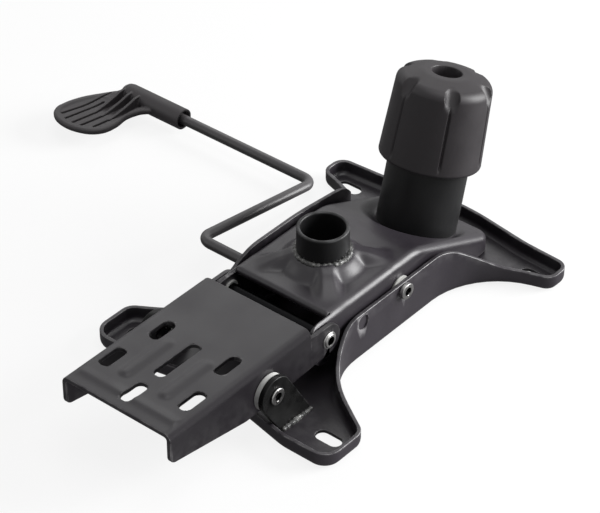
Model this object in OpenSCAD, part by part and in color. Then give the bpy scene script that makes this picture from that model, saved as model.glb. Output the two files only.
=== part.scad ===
// Tilt mechanism of an office chair, lying on its seat face with the gas lift socket up.
// +Z is up, +Y points to the front of the chair, the origin is the centre of the seat slots.

/* [Housing] */
// Width of the housing over its side walls
house_w = 77; // [70:0.5:84]
// Thickness of the housing sheet
house_sheet = 2.5; // [2:0.25:3.5]
// Height of the flat deck above the seat face
deck_z = 48; // [46:0.5:50]
// Outside radius of the folds between deck and side walls
fold_r = 6; // [4:0.5:9]
// Place of the bend where the deck starts to slope down
deck_bend_y = 28; // [24:0.5:32]
// Slope of the front deck in degrees
deck_slope = 23; // [21:0.5:25]
// Rear edge of the deck behind the origin
deck_rear = 57.5; // [52:0.5:60]
// Rear end of the side walls behind the origin
wall_rear = 75; // [73:0.5:80]
// Front end of the housing
house_front = 108; // [105:0.5:110]
// Lowest edge of the side walls
wall_low = 4.5; // [4:0.25:6]

/* [Gas lift socket] */
// Place of the socket behind the origin
socket_back = 17.3; // [15:0.1:20]
// Bore of the socket
socket_bore = 28; // [26:0.1:30]
// Wall of the socket
socket_wall = 2.4; // [2:0.1:4]
// Height of the socket mouth
socket_top = 73.5; // [68:0.5:80]
// Height of the socket's lower end
socket_low = 36; // [35:0.5:38]
// Height of the boss that rises round the socket
boss_h = 7.5; // [5:0.5:10]
// Width of the boss at the deck
boss_base = 56; // [50:1:62]
// Thickness of the plate that steadies the socket inside the housing
support_sheet = 2.5; // [2:0.25:4]
// Length of that plate
support_len = 34; // [34:1:36]

/* [Pivots] */
// Back bracket pivot behind the origin
back_pivot_back = 62.5; // [60:0.5:64]
// Height of the back bracket pivot
back_pivot_z = 34.5; // [33:0.5:36]
// Seat pivot in front of the origin
seat_pivot_y = 9.5; // [9:0.5:12]
// Height of the seat pivot
seat_pivot_z = 30; // [29:0.5:31]
// Link pivot behind the origin
link_back = 119.5; // [117:0.5:122]
// Height of the link pivot
link_z = 32; // [31:0.5:33]
// Recline of the back bracket in degrees
recline = 20; // [12:1:22]
// Diameter of the back pivot pin
pin_d = 9; // [8:0.5:10]
// Bore of the hollow back pivot pin
pin_bore = 5.6; // [4:0.2:6]
// Diameter of the pivot screws
screw_d = 8; // [6:0.5:9]
// Width of the screw heads
head_d = 11; // [10:0.5:12]
// Wall of the back pivot bushes
bush_wall = 1.5; // [1:0.1:2.5]
// Gap between housing and back bracket walls
side_gap = 0.5; // [0.3:0.1:1]
// Gap between housing and seat plate flanges
waist_gap = 1.8; // [1.4:0.1:2.5]
// Outside diameter of the seat pivot washers
seat_washer_d = 21; // [16:0.5:22]
// Outside diameter of the link washers
link_washer_d = 24; // [18:0.5:26]
// Thickness of the link washers
link_washer_t = 3.4; // [2:0.1:5]

/* [Seat plate] */
// Thickness of the seat plate sheet
seat_sheet = 2.5; // [2:0.25:3]
// Spacing of the seat slots across the plate
slot_pitch_x = 150; // [145:1:165]
// Spacing of the seat slots from front to rear
slot_pitch_y = 205; // [200:1:215]
// Width of a seat slot
slot_w = 9; // [7:0.5:11]
// End to end length of a seat slot
slot_len = 18; // [14:0.5:26]
// Plate beyond the slot centres at the ear ends
ear_end = 18.5; // [16:0.5:24]
// Plate in front of the front slot centres
ear_front = 13.5; // [12:0.5:18]
// Plate behind the rear slot centres
ear_rear = 24; // [20:0.5:28]
// Bulge of the front edge
front_bulge = 11; // [8:0.5:16]
// Height of the ear flanges
ear_h = 12; // [9:0.5:14]
// Height of the flanges at the waist
waist_h = 35.5; // [35:0.5:38]
// Height of the left flange, which stands up round its lock window
lock_flange_h = 49.5; // [46:0.5:52]
// Fall of the left flange's top edge towards the front
lock_flange_fall = 4.5; // [2:0.5:8]
// Thickness of the link lugs
lug_t = 3.8; // [3:0.1:5]
// Radius of the lug round the link pivot
lug_r = 12.5; // [11:0.5:14]
// Diameter of the half sheared buttons in the flanges
button_d = 10; // [8:0.5:12]

/* [Back bracket] */
// Thickness of the back bracket sheet
bracket_sheet = 3; // [2:0.25:4]
// Height of the bracket plate
bracket_top = 53; // [52:0.5:55]
// Rear edge of the bracket behind the origin
bracket_rear = 202.6; // [200:0.5:210]
// Front edge of the bracket plate behind the origin
bracket_front = 79; // [78:0.5:82]
// Outside radius of the bracket folds
bracket_fold_r = 5; // [4:0.5:7]
// Depth of the bracket walls at the rear edge
bracket_rear_h = 22; // [18:0.5:24]
// Lowest edge of the bracket walls
bracket_low = 20; // [18:0.5:21]
// Radius of the ears round the back pivot
bracket_ear_r = 10.5; // [9:0.5:11]
// Width of the back bar slots
back_slot_w = 8; // [6:0.5:9]
// Length of the short back bar slots
back_slot_len = 19; // [14:0.5:22]
// Length of the long middle slot
long_slot_len = 36; // [30:0.5:38]

/* [Tension spring] */
// Place of the spring tube in front of the origin
tube_y = 77; // [76:0.5:78]
// Height of the seat of the spring tube
tube_z = 23.2; // [23:0.1:23.6]
// Forward lean of the spring tube in degrees
tube_lean = 14.7; // [14:0.1:16]
// Outside diameter of the spring tube
tube_d = 52.4; // [50:0.2:54]
// Wall of the spring tube
tube_wall = 1.6; // [1.2:0.1:2.2]
// Length of the spring tube
tube_len = 64; // [60:0.5:66]
// Wire of the tension spring
spring_wire = 6; // [4:0.5:7]
// Mean diameter of the tension spring
spring_d = 39; // [34:0.5:40]
// Length of the tension spring as fitted
spring_len = 84; // [83:0.5:90]
// Turns of the tension spring
spring_turns = 8; // [6:1:9]
// Diameter of the tension bolt
bolt_d = 10; // [8:0.5:11]

/* [Knob] */
// Diameter of the knob at its rim
knob_d = 66.2; // [65:0.2:72]
// Narrowing of the knob from rim to top
knob_taper = 5; // [2:0.5:6]
// Height of the knob
knob_h = 59; // [56:0.5:62]
// Wall of the knob
knob_wall = 3; // [2:0.25:3]
// Fall of the knob's domed top towards its edge
dome_drop = 4.5; // [3:0.5:6]
// Rounding of the knob's top edge
knob_top_r = 7; // [5:0.5:8]
// Hole in the top of the knob
knob_hole_d = 19.6; // [16:0.2:22]
// Grooves round the knob
knob_grooves = 6; // [4:1:10]
// Width of a groove
groove_w = 2.4; // [1.5:0.1:4]

/* [Lever] */
// Lever pivot behind the origin
lever_back = 30.5; // [29:0.5:31]
// Height of the lever pivot
lever_z = 29; // [28:0.5:30]
// Diameter of the lever rod
rod_d = 7; // [6:0.25:7.5]
// Distance of the crank from the middle of the mechanism
crank_x = 89.3; // [80:0.5:110]
// Length of the crank
crank_len = 114.4; // [105:0.2:120]
// Fall of the crank towards the front in degrees
crank_drop = 9; // [5:0.5:9]
// Bend radius of the rod at its centre line
rod_bend = 9; // [8:0.5:14]
// Distance of the grip's mouth from the middle
grip_start = 205; // [190:1:220]
// Length of the grip's sleeve
sleeve_len = 49; // [45:1:70]
// Outside diameter of the grip's sleeve
sleeve_d = 15; // [14:0.2:18]
// Length of the paddle behind the sleeve
paddle_len = 64; // [55:1:80]
// Width of the paddle
paddle_w = 54; // [46:1:60]
// Thickness of the paddle
paddle_t = 4.5; // [3:0.25:6]
// Pull of the lever that locks the tilt
lock_travel = 6; // [5:0.5:6]
// Lift of the lever that frees the gas lift, in degrees
lever_lift = 4; // [2:0.5:4]

/* [Hidden] */

$fn = 64;
sides = [-1, 1];
black = [0.13, 0.13, 0.14];
dark = [0.2, 0.2, 0.21];
steel = [0.7, 0.7, 0.72];
zinc = [0.55, 0.55, 0.58];
nylon = [0.92, 0.92, 0.9];

// Clearances
run_gap = 0.05;
loose_gap = 0.3;
cut = 1;
far = 400;

// Widths, built outwards from the housing
house_half = house_w / 2;
house_in = house_half - house_sheet;
waist_in = house_half + waist_gap;
waist_half = waist_in + seat_sheet;
bracket_in = house_half + side_gap;
bracket_half = bracket_in + bracket_sheet;
lug_in = bracket_half + loose_gap + link_washer_t;
lug_out = lug_in + lug_t;

// Pivot places in the side view
back_pivot = [-back_pivot_back, back_pivot_z];
seat_pivot = [seat_pivot_y, seat_pivot_z];
link_pivot = [-link_back, link_z];
lever_pivot = [-lever_back, lever_z];
socket_y = -socket_back;

// The seat plate turns by this share of the back bracket's recline
tilt_ratio = (link_pivot.x - back_pivot.x) / (link_pivot.x - seat_pivot.x);
seat_tilt = recline * tilt_ratio;

// Round ends
pin_r = pin_d / 2;
screw_r = screw_d / 2;
head_h = 3;
low_head_h = 1.5;
socket_key = 5;
key_depth = 2.2;
nut_ratio = 1.85;
nut_t = 6;

// A corner of an outline, rounded by an arc that touches both of its edges
corner_steps = 8;
function unit(v) = v / norm(v);
function corner_arc(before, at, after, r) =
    let (a = unit(before - at), b = unit(after - at), half = acos(a * b) / 2)
    let (centre = at + unit(a + b) * r / sin(half), reach = r / tan(half))
    let (first = at + a * reach - centre, last = at + b * reach - centre)
    let (from = atan2(first.y, first.x), turn = sign(cross(first, last)) * (180 - 2 * half))
    [for (i = [0:corner_steps], a = from + turn * i / corner_steps) centre + r * [cos(a), sin(a)]];
function before(list, i) = list[(i + len(list) - 1) % len(list)];
function after(list, i) = list[(i + 1) % len(list)];
function rounded(points, radii) = [for (i = [0:len(points) - 1])
    each radii[i] > 0 ? corner_arc(before(points, i), points[i], after(points, i), radii[i]) : [points[i]]];

// The same outline drawn a sheet's thickness further in
function bend_sign(points, i) = sign(cross(points[i] - before(points, i), after(points, i) - points[i]));
function inset_corner(points, i, d) =
    let (a = unit(before(points, i) - points[i]), b = unit(after(points, i) - points[i]))
    points[i] + unit(a + b) * bend_sign(points, i) * d / sin(acos(a * b) / 2);
function inset_points(points, d) = [for (i = [0:len(points) - 1]) inset_corner(points, i, d)];
function inset_radii(points, radii, d) =
    [for (i = [0:len(points) - 1]) radii[i] - bend_sign(points, i) * d];

// A point of the side view turned about a pivot, positive lowers the rear
function turned(p, pivot, angle) =
    let (d = p - pivot)
    pivot + [d.x * cos(angle) - d.y * sin(angle), d.x * sin(angle) + d.y * cos(angle)];

// Where a line from a point touches a circle, on the left or right side of the line
function touch(centre, r, p, side) =
    let (d = p - centre, lean = acos(r / norm(d)), from = atan2(d.y, d.x))
    centre + r * [cos(from + side * lean), sin(from + side * lean)];

// Shapes drawn in the side view and pushed out across the mechanism
module across(half) rotate([90, 0, 90]) linear_extrude(2 * half, center = true) children();
module across_from(x0, x1) translate([x0, 0, 0]) rotate([90, 0, 90]) linear_extrude(x1 - x0) children();
// Shapes drawn in the front view and pushed along the mechanism
module along(y0, y1) translate([0, y1, 0]) rotate([90, 0, 0]) linear_extrude(y1 - y0) children();
// A round bar across the mechanism through a point of the side view
module cross_bar(r, x0, x1, at) translate([x0, at.x, at.y]) rotate([0, 90, 0]) cylinder(r = r, h = x1 - x0);
// The same on the right and on the left
module both_sides() for (turn = [0, 1]) mirror([turn, 0, 0]) children();
module both_bars(r, x0, x1, at) both_sides() cross_bar(r, x0, x1, at);
module slot_along_x(w, len, h) {
    for (side = sides) translate([side * (len - w) / 2, 0, 0]) cylinder(d = w, h = h);
    translate([-(len - w) / 2, -w / 2, 0]) cube([len - w, w, h]);
}
module on_tube_axis() translate([0, tube_y, tube_z]) rotate([-tube_lean, 0, 0]) children();
module ring(r, bore, h) difference() {
    cylinder(r = r, h = h);
    translate([0, 0, -cut]) cylinder(r = bore, h = h + 2 * cut);
}
// A hexagon nut that lies across the mechanism
module cross_nut(r, bore, x0, x1, at) difference() {
    translate([x0, at.x, at.y]) rotate([0, 90, 0]) cylinder(r = r, h = x1 - x0, $fn = 6);
    cross_bar(bore, x0 - cut, x1 + cut, at);
}
// A pair of screws with a socket head outside and a shank that reaches in
module screw_pair(at, head_r, head_x, head_t, shank_x) both_sides() difference() {
    union() {
        cross_bar(head_r, head_x, head_x + head_t, at);
        cross_bar(screw_r, shank_x, head_x, at);
    }
    translate([head_x + head_t - key_depth, at.x, at.y]) rotate([0, 90, 0])
        cylinder(d = socket_key / cos(30), h = key_depth + cut, $fn = 6);
}

// Lever fit: the rod swings on its pin inside the lock bush, whose head stands inside the side wall
rod_r = rod_d / 2;
bush_head_t = 6;
head_face = house_in - lock_travel - loose_gap;
lever_pin_x = head_face - bush_head_t / 2;
nose_end = house_half + loose_gap;
nose_wall = 1.3;
bush_bore = rod_r / cos(lever_lift) + (nose_end - lever_pin_x) * tan(lever_lift) + 2 * run_gap;
nose_r = bush_bore + nose_wall;
bush_collar = 2.6;
bush_head_r = nose_r + bush_collar;
bush_inner = head_face - bush_head_t;

// Seat plate outline, its right half from rear to front
ear_x = slot_pitch_x / 2 + ear_end;
slot_y = slot_pitch_y / 2;
rear_y = -slot_y - ear_rear;
front_y = slot_y + ear_front;
rear_step = 6.5;
rear_step_in = 26;
rear_step_out = 58;
front_step = 2;
// Distance from the slot centres to the start and end of the flares between ears and waist
rear_neck = [9, 40.5];
front_neck = [6, 22.5];
rear_flare = [-slot_y + rear_neck[0], -slot_y + rear_neck[1]];
front_flare = [slot_y - front_neck[0], slot_y - front_neck[1]];
seat_right = [[rear_step_in, rear_y + rear_step], [rear_step_out, rear_y],
    [ear_x, rear_y], [ear_x, rear_flare[0]], [waist_half, rear_flare[1]],
    [waist_half, front_flare[1]], [ear_x, front_flare[0]], [ear_x, front_y],
    [rear_step_out, front_y + front_step], [0, front_y + front_bulge]];
rear_step_r = 40;
rear_ear_r = [12, 10];
rear_waist_r = 45;
front_waist_r = 54;
front_ear_r = 9;
front_edge_r = [120, 160];
right_radii = [rear_step_r, rear_step_r, rear_ear_r[0], rear_ear_r[1], rear_waist_r, front_waist_r,
    front_ear_r, front_ear_r, front_edge_r[0], front_edge_r[1]];
right_count = len(seat_right);
seat_points = concat(seat_right, [for (i = [right_count - 2:-1:0]) [-seat_right[i].x, seat_right[i].y]]);
seat_radii = concat(right_radii, [for (i = [right_count - 2:-1:0]) right_radii[i]]);
seat_outline = rounded(seat_points, seat_radii);
seat_inside = rounded(inset_points(seat_points, seat_sheet),
    inset_radii(seat_points, seat_radii, seat_sheet));
// Start and end of the flanges' knees in the side view, measured from the flares
front_knee = [6, 26];
rear_knee = [13.5, 20];
knee_low_r = 20;
knee_top_r = [35, 25];
crest_r = 200;
knee_front = [front_flare[1] + front_knee[0], front_flare[1] - front_knee[1]];
knee_rear = [rear_flare[1] - rear_knee[0], rear_flare[1] + rear_knee[1]];
// A flange in the side view, with the points and radii of its top edge from front to rear
function flange_view(top, top_r) = rounded(
    concat([[-far, -cut], [far, -cut], [far, ear_h], [knee_front[0], ear_h]], top,
        [[knee_rear[0], ear_h], [-far, ear_h]]),
    concat([0, 0, 0, knee_low_r], top_r, [knee_low_r, 0]));
right_flange = flange_view([[knee_front[1], waist_h], [knee_rear[1], waist_h]], knee_top_r);
left_flange = flange_view([[knee_front[1], lock_flange_h - lock_flange_fall],
    [seat_pivot.x, lock_flange_h], [knee_rear[1], lock_flange_h]], [knee_top_r[0], crest_r, knee_top_r[1]]);
flange_top = max(waist_h, lock_flange_h);
button_step = 0.8;
window_r = nose_r + loose_gap;
lever_reclined = turned(lever_pivot, seat_pivot, seat_tilt);

module seat_plate() color(black) difference() {
    union() {
        difference() {
            intersection() {
                linear_extrude(flange_top) polygon(seat_outline);
                union() {
                    across_from(0, ear_x + cut) polygon(right_flange);
                    across_from(-ear_x - cut, 0) polygon(left_flange);
                }
            }
            translate([0, 0, seat_sheet]) linear_extrude(flange_top) polygon(seat_inside);
        }
        cross_bar(button_d / 2, waist_in - button_step, waist_half - button_step, lever_pivot);
    }
    for (side_x = sides, side_y = sides) translate([side_x * slot_pitch_x / 2, side_y * slot_y, -cut])
        slot_along_x(slot_w, slot_len, seat_sheet + 2 * cut);
    both_bars(screw_r + run_gap, waist_in - cut, waist_half + cut, seat_pivot);
    cross_bar(button_d / 2, waist_half - button_step, waist_half + cut, lever_pivot);
    for (at = [lever_pivot, lever_reclined]) cross_bar(window_r, -waist_half - cut, -waist_in + cut, at);
}

// A lug stands on the seat plate, leans back and carries the link screw
lug_foot_start = 4;
lug_foot_len = 28;
lug_foot_rear = [link_pivot.x + lug_foot_start, seat_sheet];
lug_foot_front = lug_foot_rear + [lug_foot_len, 0];
module seat_lug() difference() {
    union() {
        across_from(lug_in, lug_out) polygon([lug_foot_rear, lug_foot_front,
            touch(link_pivot, lug_r, lug_foot_front, 1), touch(link_pivot, lug_r, lug_foot_rear, -1)]);
        cross_bar(lug_r, lug_in, lug_out, link_pivot);
    }
    cross_bar(screw_r, lug_in - cut, lug_out + cut, link_pivot);
}
module seat_lug_right() color(black) seat_lug();
module seat_lug_left() color(black) mirror([1, 0, 0]) seat_lug();

link_nut_x = bracket_in - loose_gap;
module link_screws() color(zinc)
    screw_pair(link_pivot, head_d / 2, lug_out, low_head_h, link_nut_x - nut_t - cut);
module link_washers() color(nylon) both_sides() difference() {
    cross_bar(link_washer_d / 2, bracket_half + loose_gap, lug_in, link_pivot);
    cross_bar(screw_r, bracket_half, lug_in + cut, link_pivot);
}
module link_nuts() color(zinc) both_sides()
    cross_nut(screw_r * nut_ratio, screw_r, link_nut_x - nut_t, link_nut_x, link_pivot);

// Levels along the tube axis, from the seat of the tube
bolt_r = bolt_d / 2;
nut_r = bolt_r * nut_ratio;
anchor_gap = 1.2;
anchor_top = -house_sheet - anchor_gap;
anchor_sheet = 2.8;
anchor_half = 20;
anchor_in = anchor_half - anchor_sheet;
anchor_len = 28;
rocker_r = 6;
anchor_drop = 3 * rocker_r;
rocker_top = anchor_top - anchor_sheet - loose_gap;
rocker_flat = rocker_top - rocker_r;
bolt_head_h = 4.8;
bolt_slack = 2.6;

// A bridge on the seat plate that the tension bolt pulls on
module spring_anchor() color(black) difference() {
    on_tube_axis() difference() {
        translate([-anchor_half, -anchor_len / 2, anchor_top - anchor_drop])
            cube([2 * anchor_half, anchor_len, anchor_drop]);
        translate([-anchor_in, -anchor_len / 2 - cut, anchor_top - anchor_sheet - anchor_drop])
            cube([2 * anchor_in, anchor_len + 2 * cut, anchor_drop]);
        translate([0, 0, anchor_top - anchor_sheet - cut]) rotate([0, 0, 90])
            slot_along_x(bolt_d + 2 * loose_gap, bolt_d + 2 * bolt_slack, anchor_sheet + 2 * cut);
    }
    translate([-far / 2, -far / 2, seat_sheet - far]) cube(far);
}

// The housing is a folded sheet: a flat deck, a sloping front and two side walls
function half_slope_step(d) = d * tan(deck_slope / 2);
module channel(half, top, r, depth) polygon(rounded([[-half, top - depth], [half, top - depth], [half, top],
    [-half, top]], [0, 0, r, r]));
module deck_block(d) {
    along(-wall_rear - cut, deck_bend_y - half_slope_step(d))
        channel(house_half - d, deck_z - d, fold_r - d, deck_z);
    translate([0, deck_bend_y, deck_z]) rotate([-deck_slope, 0, 0])
        along(-half_slope_step(d), house_front) channel(house_half - d, -d, fold_r - d, deck_z);
}
// The height that keeps the side walls above the seat plate at full recline
floor_gap = 1;
function floor_line(y) = seat_pivot.y + (seat_sheet + floor_gap - seat_pivot.y) / cos(seat_tilt)
    - (y - seat_pivot.x) * tan(seat_tilt);
wall_step = 1.2;
wall_top = deck_z - wall_step;
wall_view = rounded([[-wall_rear, floor_line(-wall_rear)], [seat_pivot.x, floor_line(seat_pivot.x)],
    [house_front, wall_low], [house_front, far], [-deck_rear, far], [-deck_rear, wall_top],
    [-wall_rear, wall_top]], [8, 20, 4, 0, 0, 0, 8]);
front_corner_r = 10;
function plan_view(half, front, r) =
    rounded([[-half, -far], [half, -far], [half, front], [-half, front]], [0, 0, r, r]);
pocket_gap = 2.4;
pocket_r = tube_d / 2 + pocket_gap;
lip_r = 3;
lobe_r = [8, 5];
lobe_reach = 43;
lobe_pitch = 6;
boss_margin = 2.5;
boss_top_r = socket_bore / 2 + socket_wall + boss_margin;
bush_r = pin_r + run_gap + bush_wall;

module housing_block() intersection() {
    deck_block(0);
    across(house_half + cut) polygon(wall_view);
    linear_extrude(far, center = true) polygon(plan_view(house_half, house_front, front_corner_r));
}
module housing_shell() difference() {
    housing_block();
    intersection() {
        deck_block(house_sheet);
        linear_extrude(far, center = true)
            polygon(plan_view(house_in, house_front - house_sheet, front_corner_r - house_sheet));
    }
    translate([-house_in, -far - deck_rear, -far / 2]) cube([2 * house_in, far, far]);
}
// A round pocket in the slope gives the spring tube a square seat
pocket_out = pocket_r + house_sheet;
module tube_pocket() intersection() {
    on_tube_axis() translate([0, 0, -house_sheet]) {
        ring(pocket_out, pocket_r, pocket_out);
        cylinder(r = pocket_out, h = house_sheet);
    }
    housing_block();
}
// A cone and four diagonal lobes stiffen the deck round the socket
module socket_boss() intersection() {
    union() {
        translate([0, socket_y, deck_z]) cylinder(r1 = boss_base / 2, r2 = boss_top_r, h = boss_h);
        for (turn = [45:90:315]) translate([0, socket_y, deck_z]) rotate([0, 90 + lobe_pitch, turn])
            cylinder(r1 = lobe_r[0], r2 = lobe_r[1], h = lobe_reach);
    }
    translate([-house_half + fold_r, -deck_rear, deck_z - house_sheet])
        cube([house_w - 2 * fold_r, deck_rear + deck_bend_y, boss_h + house_sheet]);
}
module housing() color(black) difference() {
    union() {
        difference() {
            housing_shell();
            on_tube_axis() translate([0, 0, -house_sheet]) cylinder(r = pocket_out, h = far);
        }
        tube_pocket();
        difference() {
            socket_boss();
            translate([0, socket_y, deck_z - house_sheet - cut])
                cylinder(r1 = boss_base / 2, r2 = boss_top_r - house_sheet, h = boss_h + cut);
        }
        cross_bar(lip_r, -house_in, house_in, [lip_r - deck_rear, deck_z - lip_r]);
    }
    on_tube_axis() translate([0, 0, -far / 2]) cylinder(r = bolt_r + loose_gap, h = far);
    translate([0, socket_y, -cut]) cylinder(r = socket_bore / 2 + socket_wall, h = far);
    both_bars(bush_r, house_in - cut, house_half + cut, back_pivot);
    both_bars(screw_r, house_in - cut, house_half + cut, seat_pivot);
    cross_bar(nose_r + run_gap, -house_half - cut, -house_in + cut, lever_pivot);
}

mouth_chamfer = 0.8;
module gas_lift_socket() color(black) translate([0, socket_y, socket_low]) difference() {
    cylinder(d = socket_bore + 2 * socket_wall, h = socket_top - socket_low);
    translate([0, 0, -cut]) cylinder(d = socket_bore, h = socket_top - socket_low + 2 * cut);
    translate([0, 0, socket_top - socket_low - mouth_chamfer])
        cylinder(d1 = socket_bore, d2 = socket_bore + 2 * mouth_chamfer, h = mouth_chamfer);
}
// A notch in the socket's plate lets the head of the lock bush pass
notch_half = bush_head_r + loose_gap;
notch_x = bush_inner - loose_gap;
module socket_support() color(black) translate([0, 0, socket_low]) difference() {
    translate([-house_in, socket_y - support_len / 2, 0]) cube([2 * house_in, support_len, support_sheet]);
    translate([0, socket_y, -cut])
        cylinder(d = socket_bore + 2 * socket_wall, h = support_sheet + 2 * cut);
    translate([-house_in - cut, lever_pivot.x - notch_half, -cut])
        cube([house_in - notch_x + cut, 2 * notch_half, support_sheet + 2 * cut]);
}
module spring_tube() color(black) on_tube_axis() ring(tube_d / 2, tube_d / 2 - tube_wall, tube_len);

// Seat pivot: screws through the flanges into nuts inside the housing, on thin washers
seat_nut_t = 6;
module seat_pivot_screws() color(zinc)
    screw_pair(seat_pivot, head_d / 2, waist_half + loose_gap, head_h, house_in - seat_nut_t);
module seat_pivot_nuts() color(zinc) both_sides()
    cross_nut(screw_r * nut_ratio, screw_r, house_in - seat_nut_t, house_in, seat_pivot);
module seat_pivot_washers() color(nylon) both_sides() difference() {
    cross_bar(seat_washer_d / 2, house_half, waist_in - loose_gap, seat_pivot);
    cross_bar(screw_r, house_half - cut, waist_in, seat_pivot);
}
module back_pivot_bushes() color(nylon) both_sides() difference() {
    cross_bar(bush_r, house_in - bush_wall, house_half, back_pivot);
    cross_bar(pin_r + run_gap, house_in - 2 * bush_wall, house_half + cut, back_pivot);
}

// Tension spring, a helix of round wire between the deck and its seat
ring_steps = 8;
wire_sides = 6;
spring_rise = spring_len - spring_wire - 2 * loose_gap;
spring_rings = spring_turns * ring_steps;
function spring_centre(i) =
    let (a = 360 * i / ring_steps, z = loose_gap + spring_wire / 2 + spring_rise * i / spring_rings)
    [spring_d / 2 * cos(a), spring_d / 2 * sin(a), z];
function spring_point(i, j) =
    let (a = 360 * i / ring_steps, b = 360 * j / wire_sides, r = (spring_d + spring_wire * cos(b)) / 2)
    [r * cos(a), r * sin(a), spring_centre(i).z + spring_wire / 2 * sin(b)];
function wall_faces(i, j) =
    let (k = (j + 1) % wire_sides, low = i * wire_sides, high = low + wire_sides)
    [[low + j, high + j, high + k], [low + j, high + k, low + k]];
turn_steps = [for (i = [0:spring_rings - ring_steps]) spring_centre(i + ring_steps) - spring_centre(i)];
spring_gap = min([for (step = turn_steps) norm(step)]) - spring_wire;
echo(str("Least gap between the turns of the tension spring: ", spring_gap, " mm"));
module tension_spring() color(steel) on_tube_axis() polyhedron(
    [for (i = [0:spring_rings], j = [0:wire_sides - 1]) spring_point(i, j)],
    concat([for (i = [0:spring_rings - 1], j = [0:wire_sides - 1]) each wall_faces(i, j)],
        [for (j = [1:wire_sides - 2]) [0, j, j + 1]],
        [for (j = [1:wire_sides - 2]) [for (k = [j + 1, j, 0]) spring_rings * wire_sides + k]]));

// Back bracket: a channel whose walls reach forward as ears round the back pivot
bracket_taper = 65;
bracket_under = bracket_top - bracket_sheet;
ear_tip = back_pivot.x + bracket_ear_r;
ear_low = back_pivot.y - bracket_ear_r;
ear_high = back_pivot.y + bracket_ear_r;
ear_round = bracket_ear_r - run_gap;
bracket_view = rounded([[-bracket_rear, bracket_top - bracket_rear_h],
    [-bracket_rear + bracket_taper, bracket_low], [back_pivot.x, ear_low], [ear_tip, ear_low],
    [ear_tip, ear_high], [-bracket_front, ear_high], [-bracket_front, far], [-bracket_rear, far]],
    [5, 15, 30, ear_round, ear_round, 2, 0, 0]);
rear_pair = [30.9, -171.4];
front_pair = [25.5, -134.8];
middle_slot_y = -186.8;
slot_step = 37;
long_slot_y = middle_slot_y + slot_step;
bead_r = 3;
bead_rise = 0.8;
bead_x = 15.4;
bead_y = [-180, -139];
link_travel = 1.2;
link_slot_w = screw_d + 2 * loose_gap;
module back_slot(x, y, len) translate([x, y, bracket_top - 2 * bracket_sheet]) rotate([0, 0, 90])
    slot_along_x(back_slot_w, len, 4 * bracket_sheet);
module bead(x) translate([x, 0, bracket_top + bead_rise - bead_r]) {
    for (y = bead_y) translate([0, y, 0]) sphere(r = bead_r);
    translate([0, bead_y[0], 0]) rotate([-90, 0, 0]) cylinder(r = bead_r, h = bead_y[1] - bead_y[0]);
}
module back_bracket() color(black) difference() {
    union() {
        intersection() {
            difference() {
                along(-bracket_rear, far) channel(bracket_half, bracket_top, bracket_fold_r, bracket_top);
                along(-bracket_rear - cut, far + cut)
                    channel(bracket_in, bracket_under, bracket_fold_r - bracket_sheet, bracket_top);
            }
            across(bracket_half + cut) polygon(bracket_view);
        }
        intersection() {
            for (side = sides) bead(side * bead_x);
            translate([-bracket_in, -bracket_rear, bracket_under]) cube([2 * bracket_in, bracket_rear, far]);
        }
    }
    for (side = sides) {
        back_slot(side * rear_pair.x, rear_pair.y, back_slot_len);
        back_slot(side * front_pair.x, front_pair.y, back_slot_len);
    }
    back_slot(0, middle_slot_y, back_slot_len);
    back_slot(0, long_slot_y, long_slot_len);
    both_bars(pin_r, bracket_in - cut, bracket_half + cut, back_pivot);
    both_sides() translate([bracket_in - cut, link_pivot.x, link_pivot.y]) rotate([90, 0, 90])
        slot_along_x(link_slot_w, link_slot_w + 2 * link_travel, bracket_sheet + 2 * cut);
}

pin_head = 1.8;
pin_flange = 1.2;
module back_pivot_pin() color(zinc) difference() {
    union() {
        cross_bar(pin_r, -bracket_half - pin_head, bracket_half + pin_head, back_pivot);
        both_bars(pin_r + pin_flange, bracket_half, bracket_half + pin_head / 2, back_pivot);
    }
    cross_bar(pin_bore / 2, -far, far, back_pivot);
}

// Tension bolt, from the rocker under its bridge to the nut in the knob
spring_seat_t = 3;
knob_nut_h = 8;
bolt_end = 2.5;
knob_recess = 9.8;
nut_low = spring_len + spring_seat_t + loose_gap;
nut_top = nut_low + knob_nut_h;
knob_top = nut_top + knob_recess;
knob_rim = knob_top - knob_h;
module tension_bolt() color(zinc) on_tube_axis() {
    translate([0, 0, rocker_flat - bolt_head_h]) cylinder(r = nut_r, h = bolt_head_h, $fn = 6);
    translate([0, 0, rocker_flat - cut]) cylinder(r = bolt_r, h = nut_top + bolt_end - rocker_flat + cut);
}
// A half round bar that lets the bolt tip as the seat tilts
module anchor_rocker() color(zinc) on_tube_axis() difference() {
    translate([-anchor_half + 2 * anchor_sheet, 0, rocker_flat]) rotate([0, 90, 0])
        cylinder(r = rocker_r, h = 2 * (anchor_half - 2 * anchor_sheet));
    translate([-anchor_half, -2 * rocker_r, rocker_flat - 2 * rocker_r])
        cube([2 * anchor_half, 4 * rocker_r, 2 * rocker_r]);
    translate([0, 0, rocker_flat - cut]) cylinder(r = bolt_r, h = 2 * rocker_r + 2 * cut);
}
seat_lip_h = 4;
seat_lip_r = (spring_d - spring_wire) / 2 * cos(180 / ring_steps) - loose_gap;
seat_edge_gap = 1;
module spring_seat() color(zinc) on_tube_axis() translate([0, 0, spring_len]) difference() {
    union() {
        cylinder(r = tube_d / 2 - tube_wall - seat_edge_gap, h = spring_seat_t);
        translate([0, 0, -seat_lip_h]) cylinder(r = seat_lip_r, h = seat_lip_h);
    }
    translate([0, 0, -far / 2]) cylinder(r = bolt_r + run_gap, h = far);
}

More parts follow.
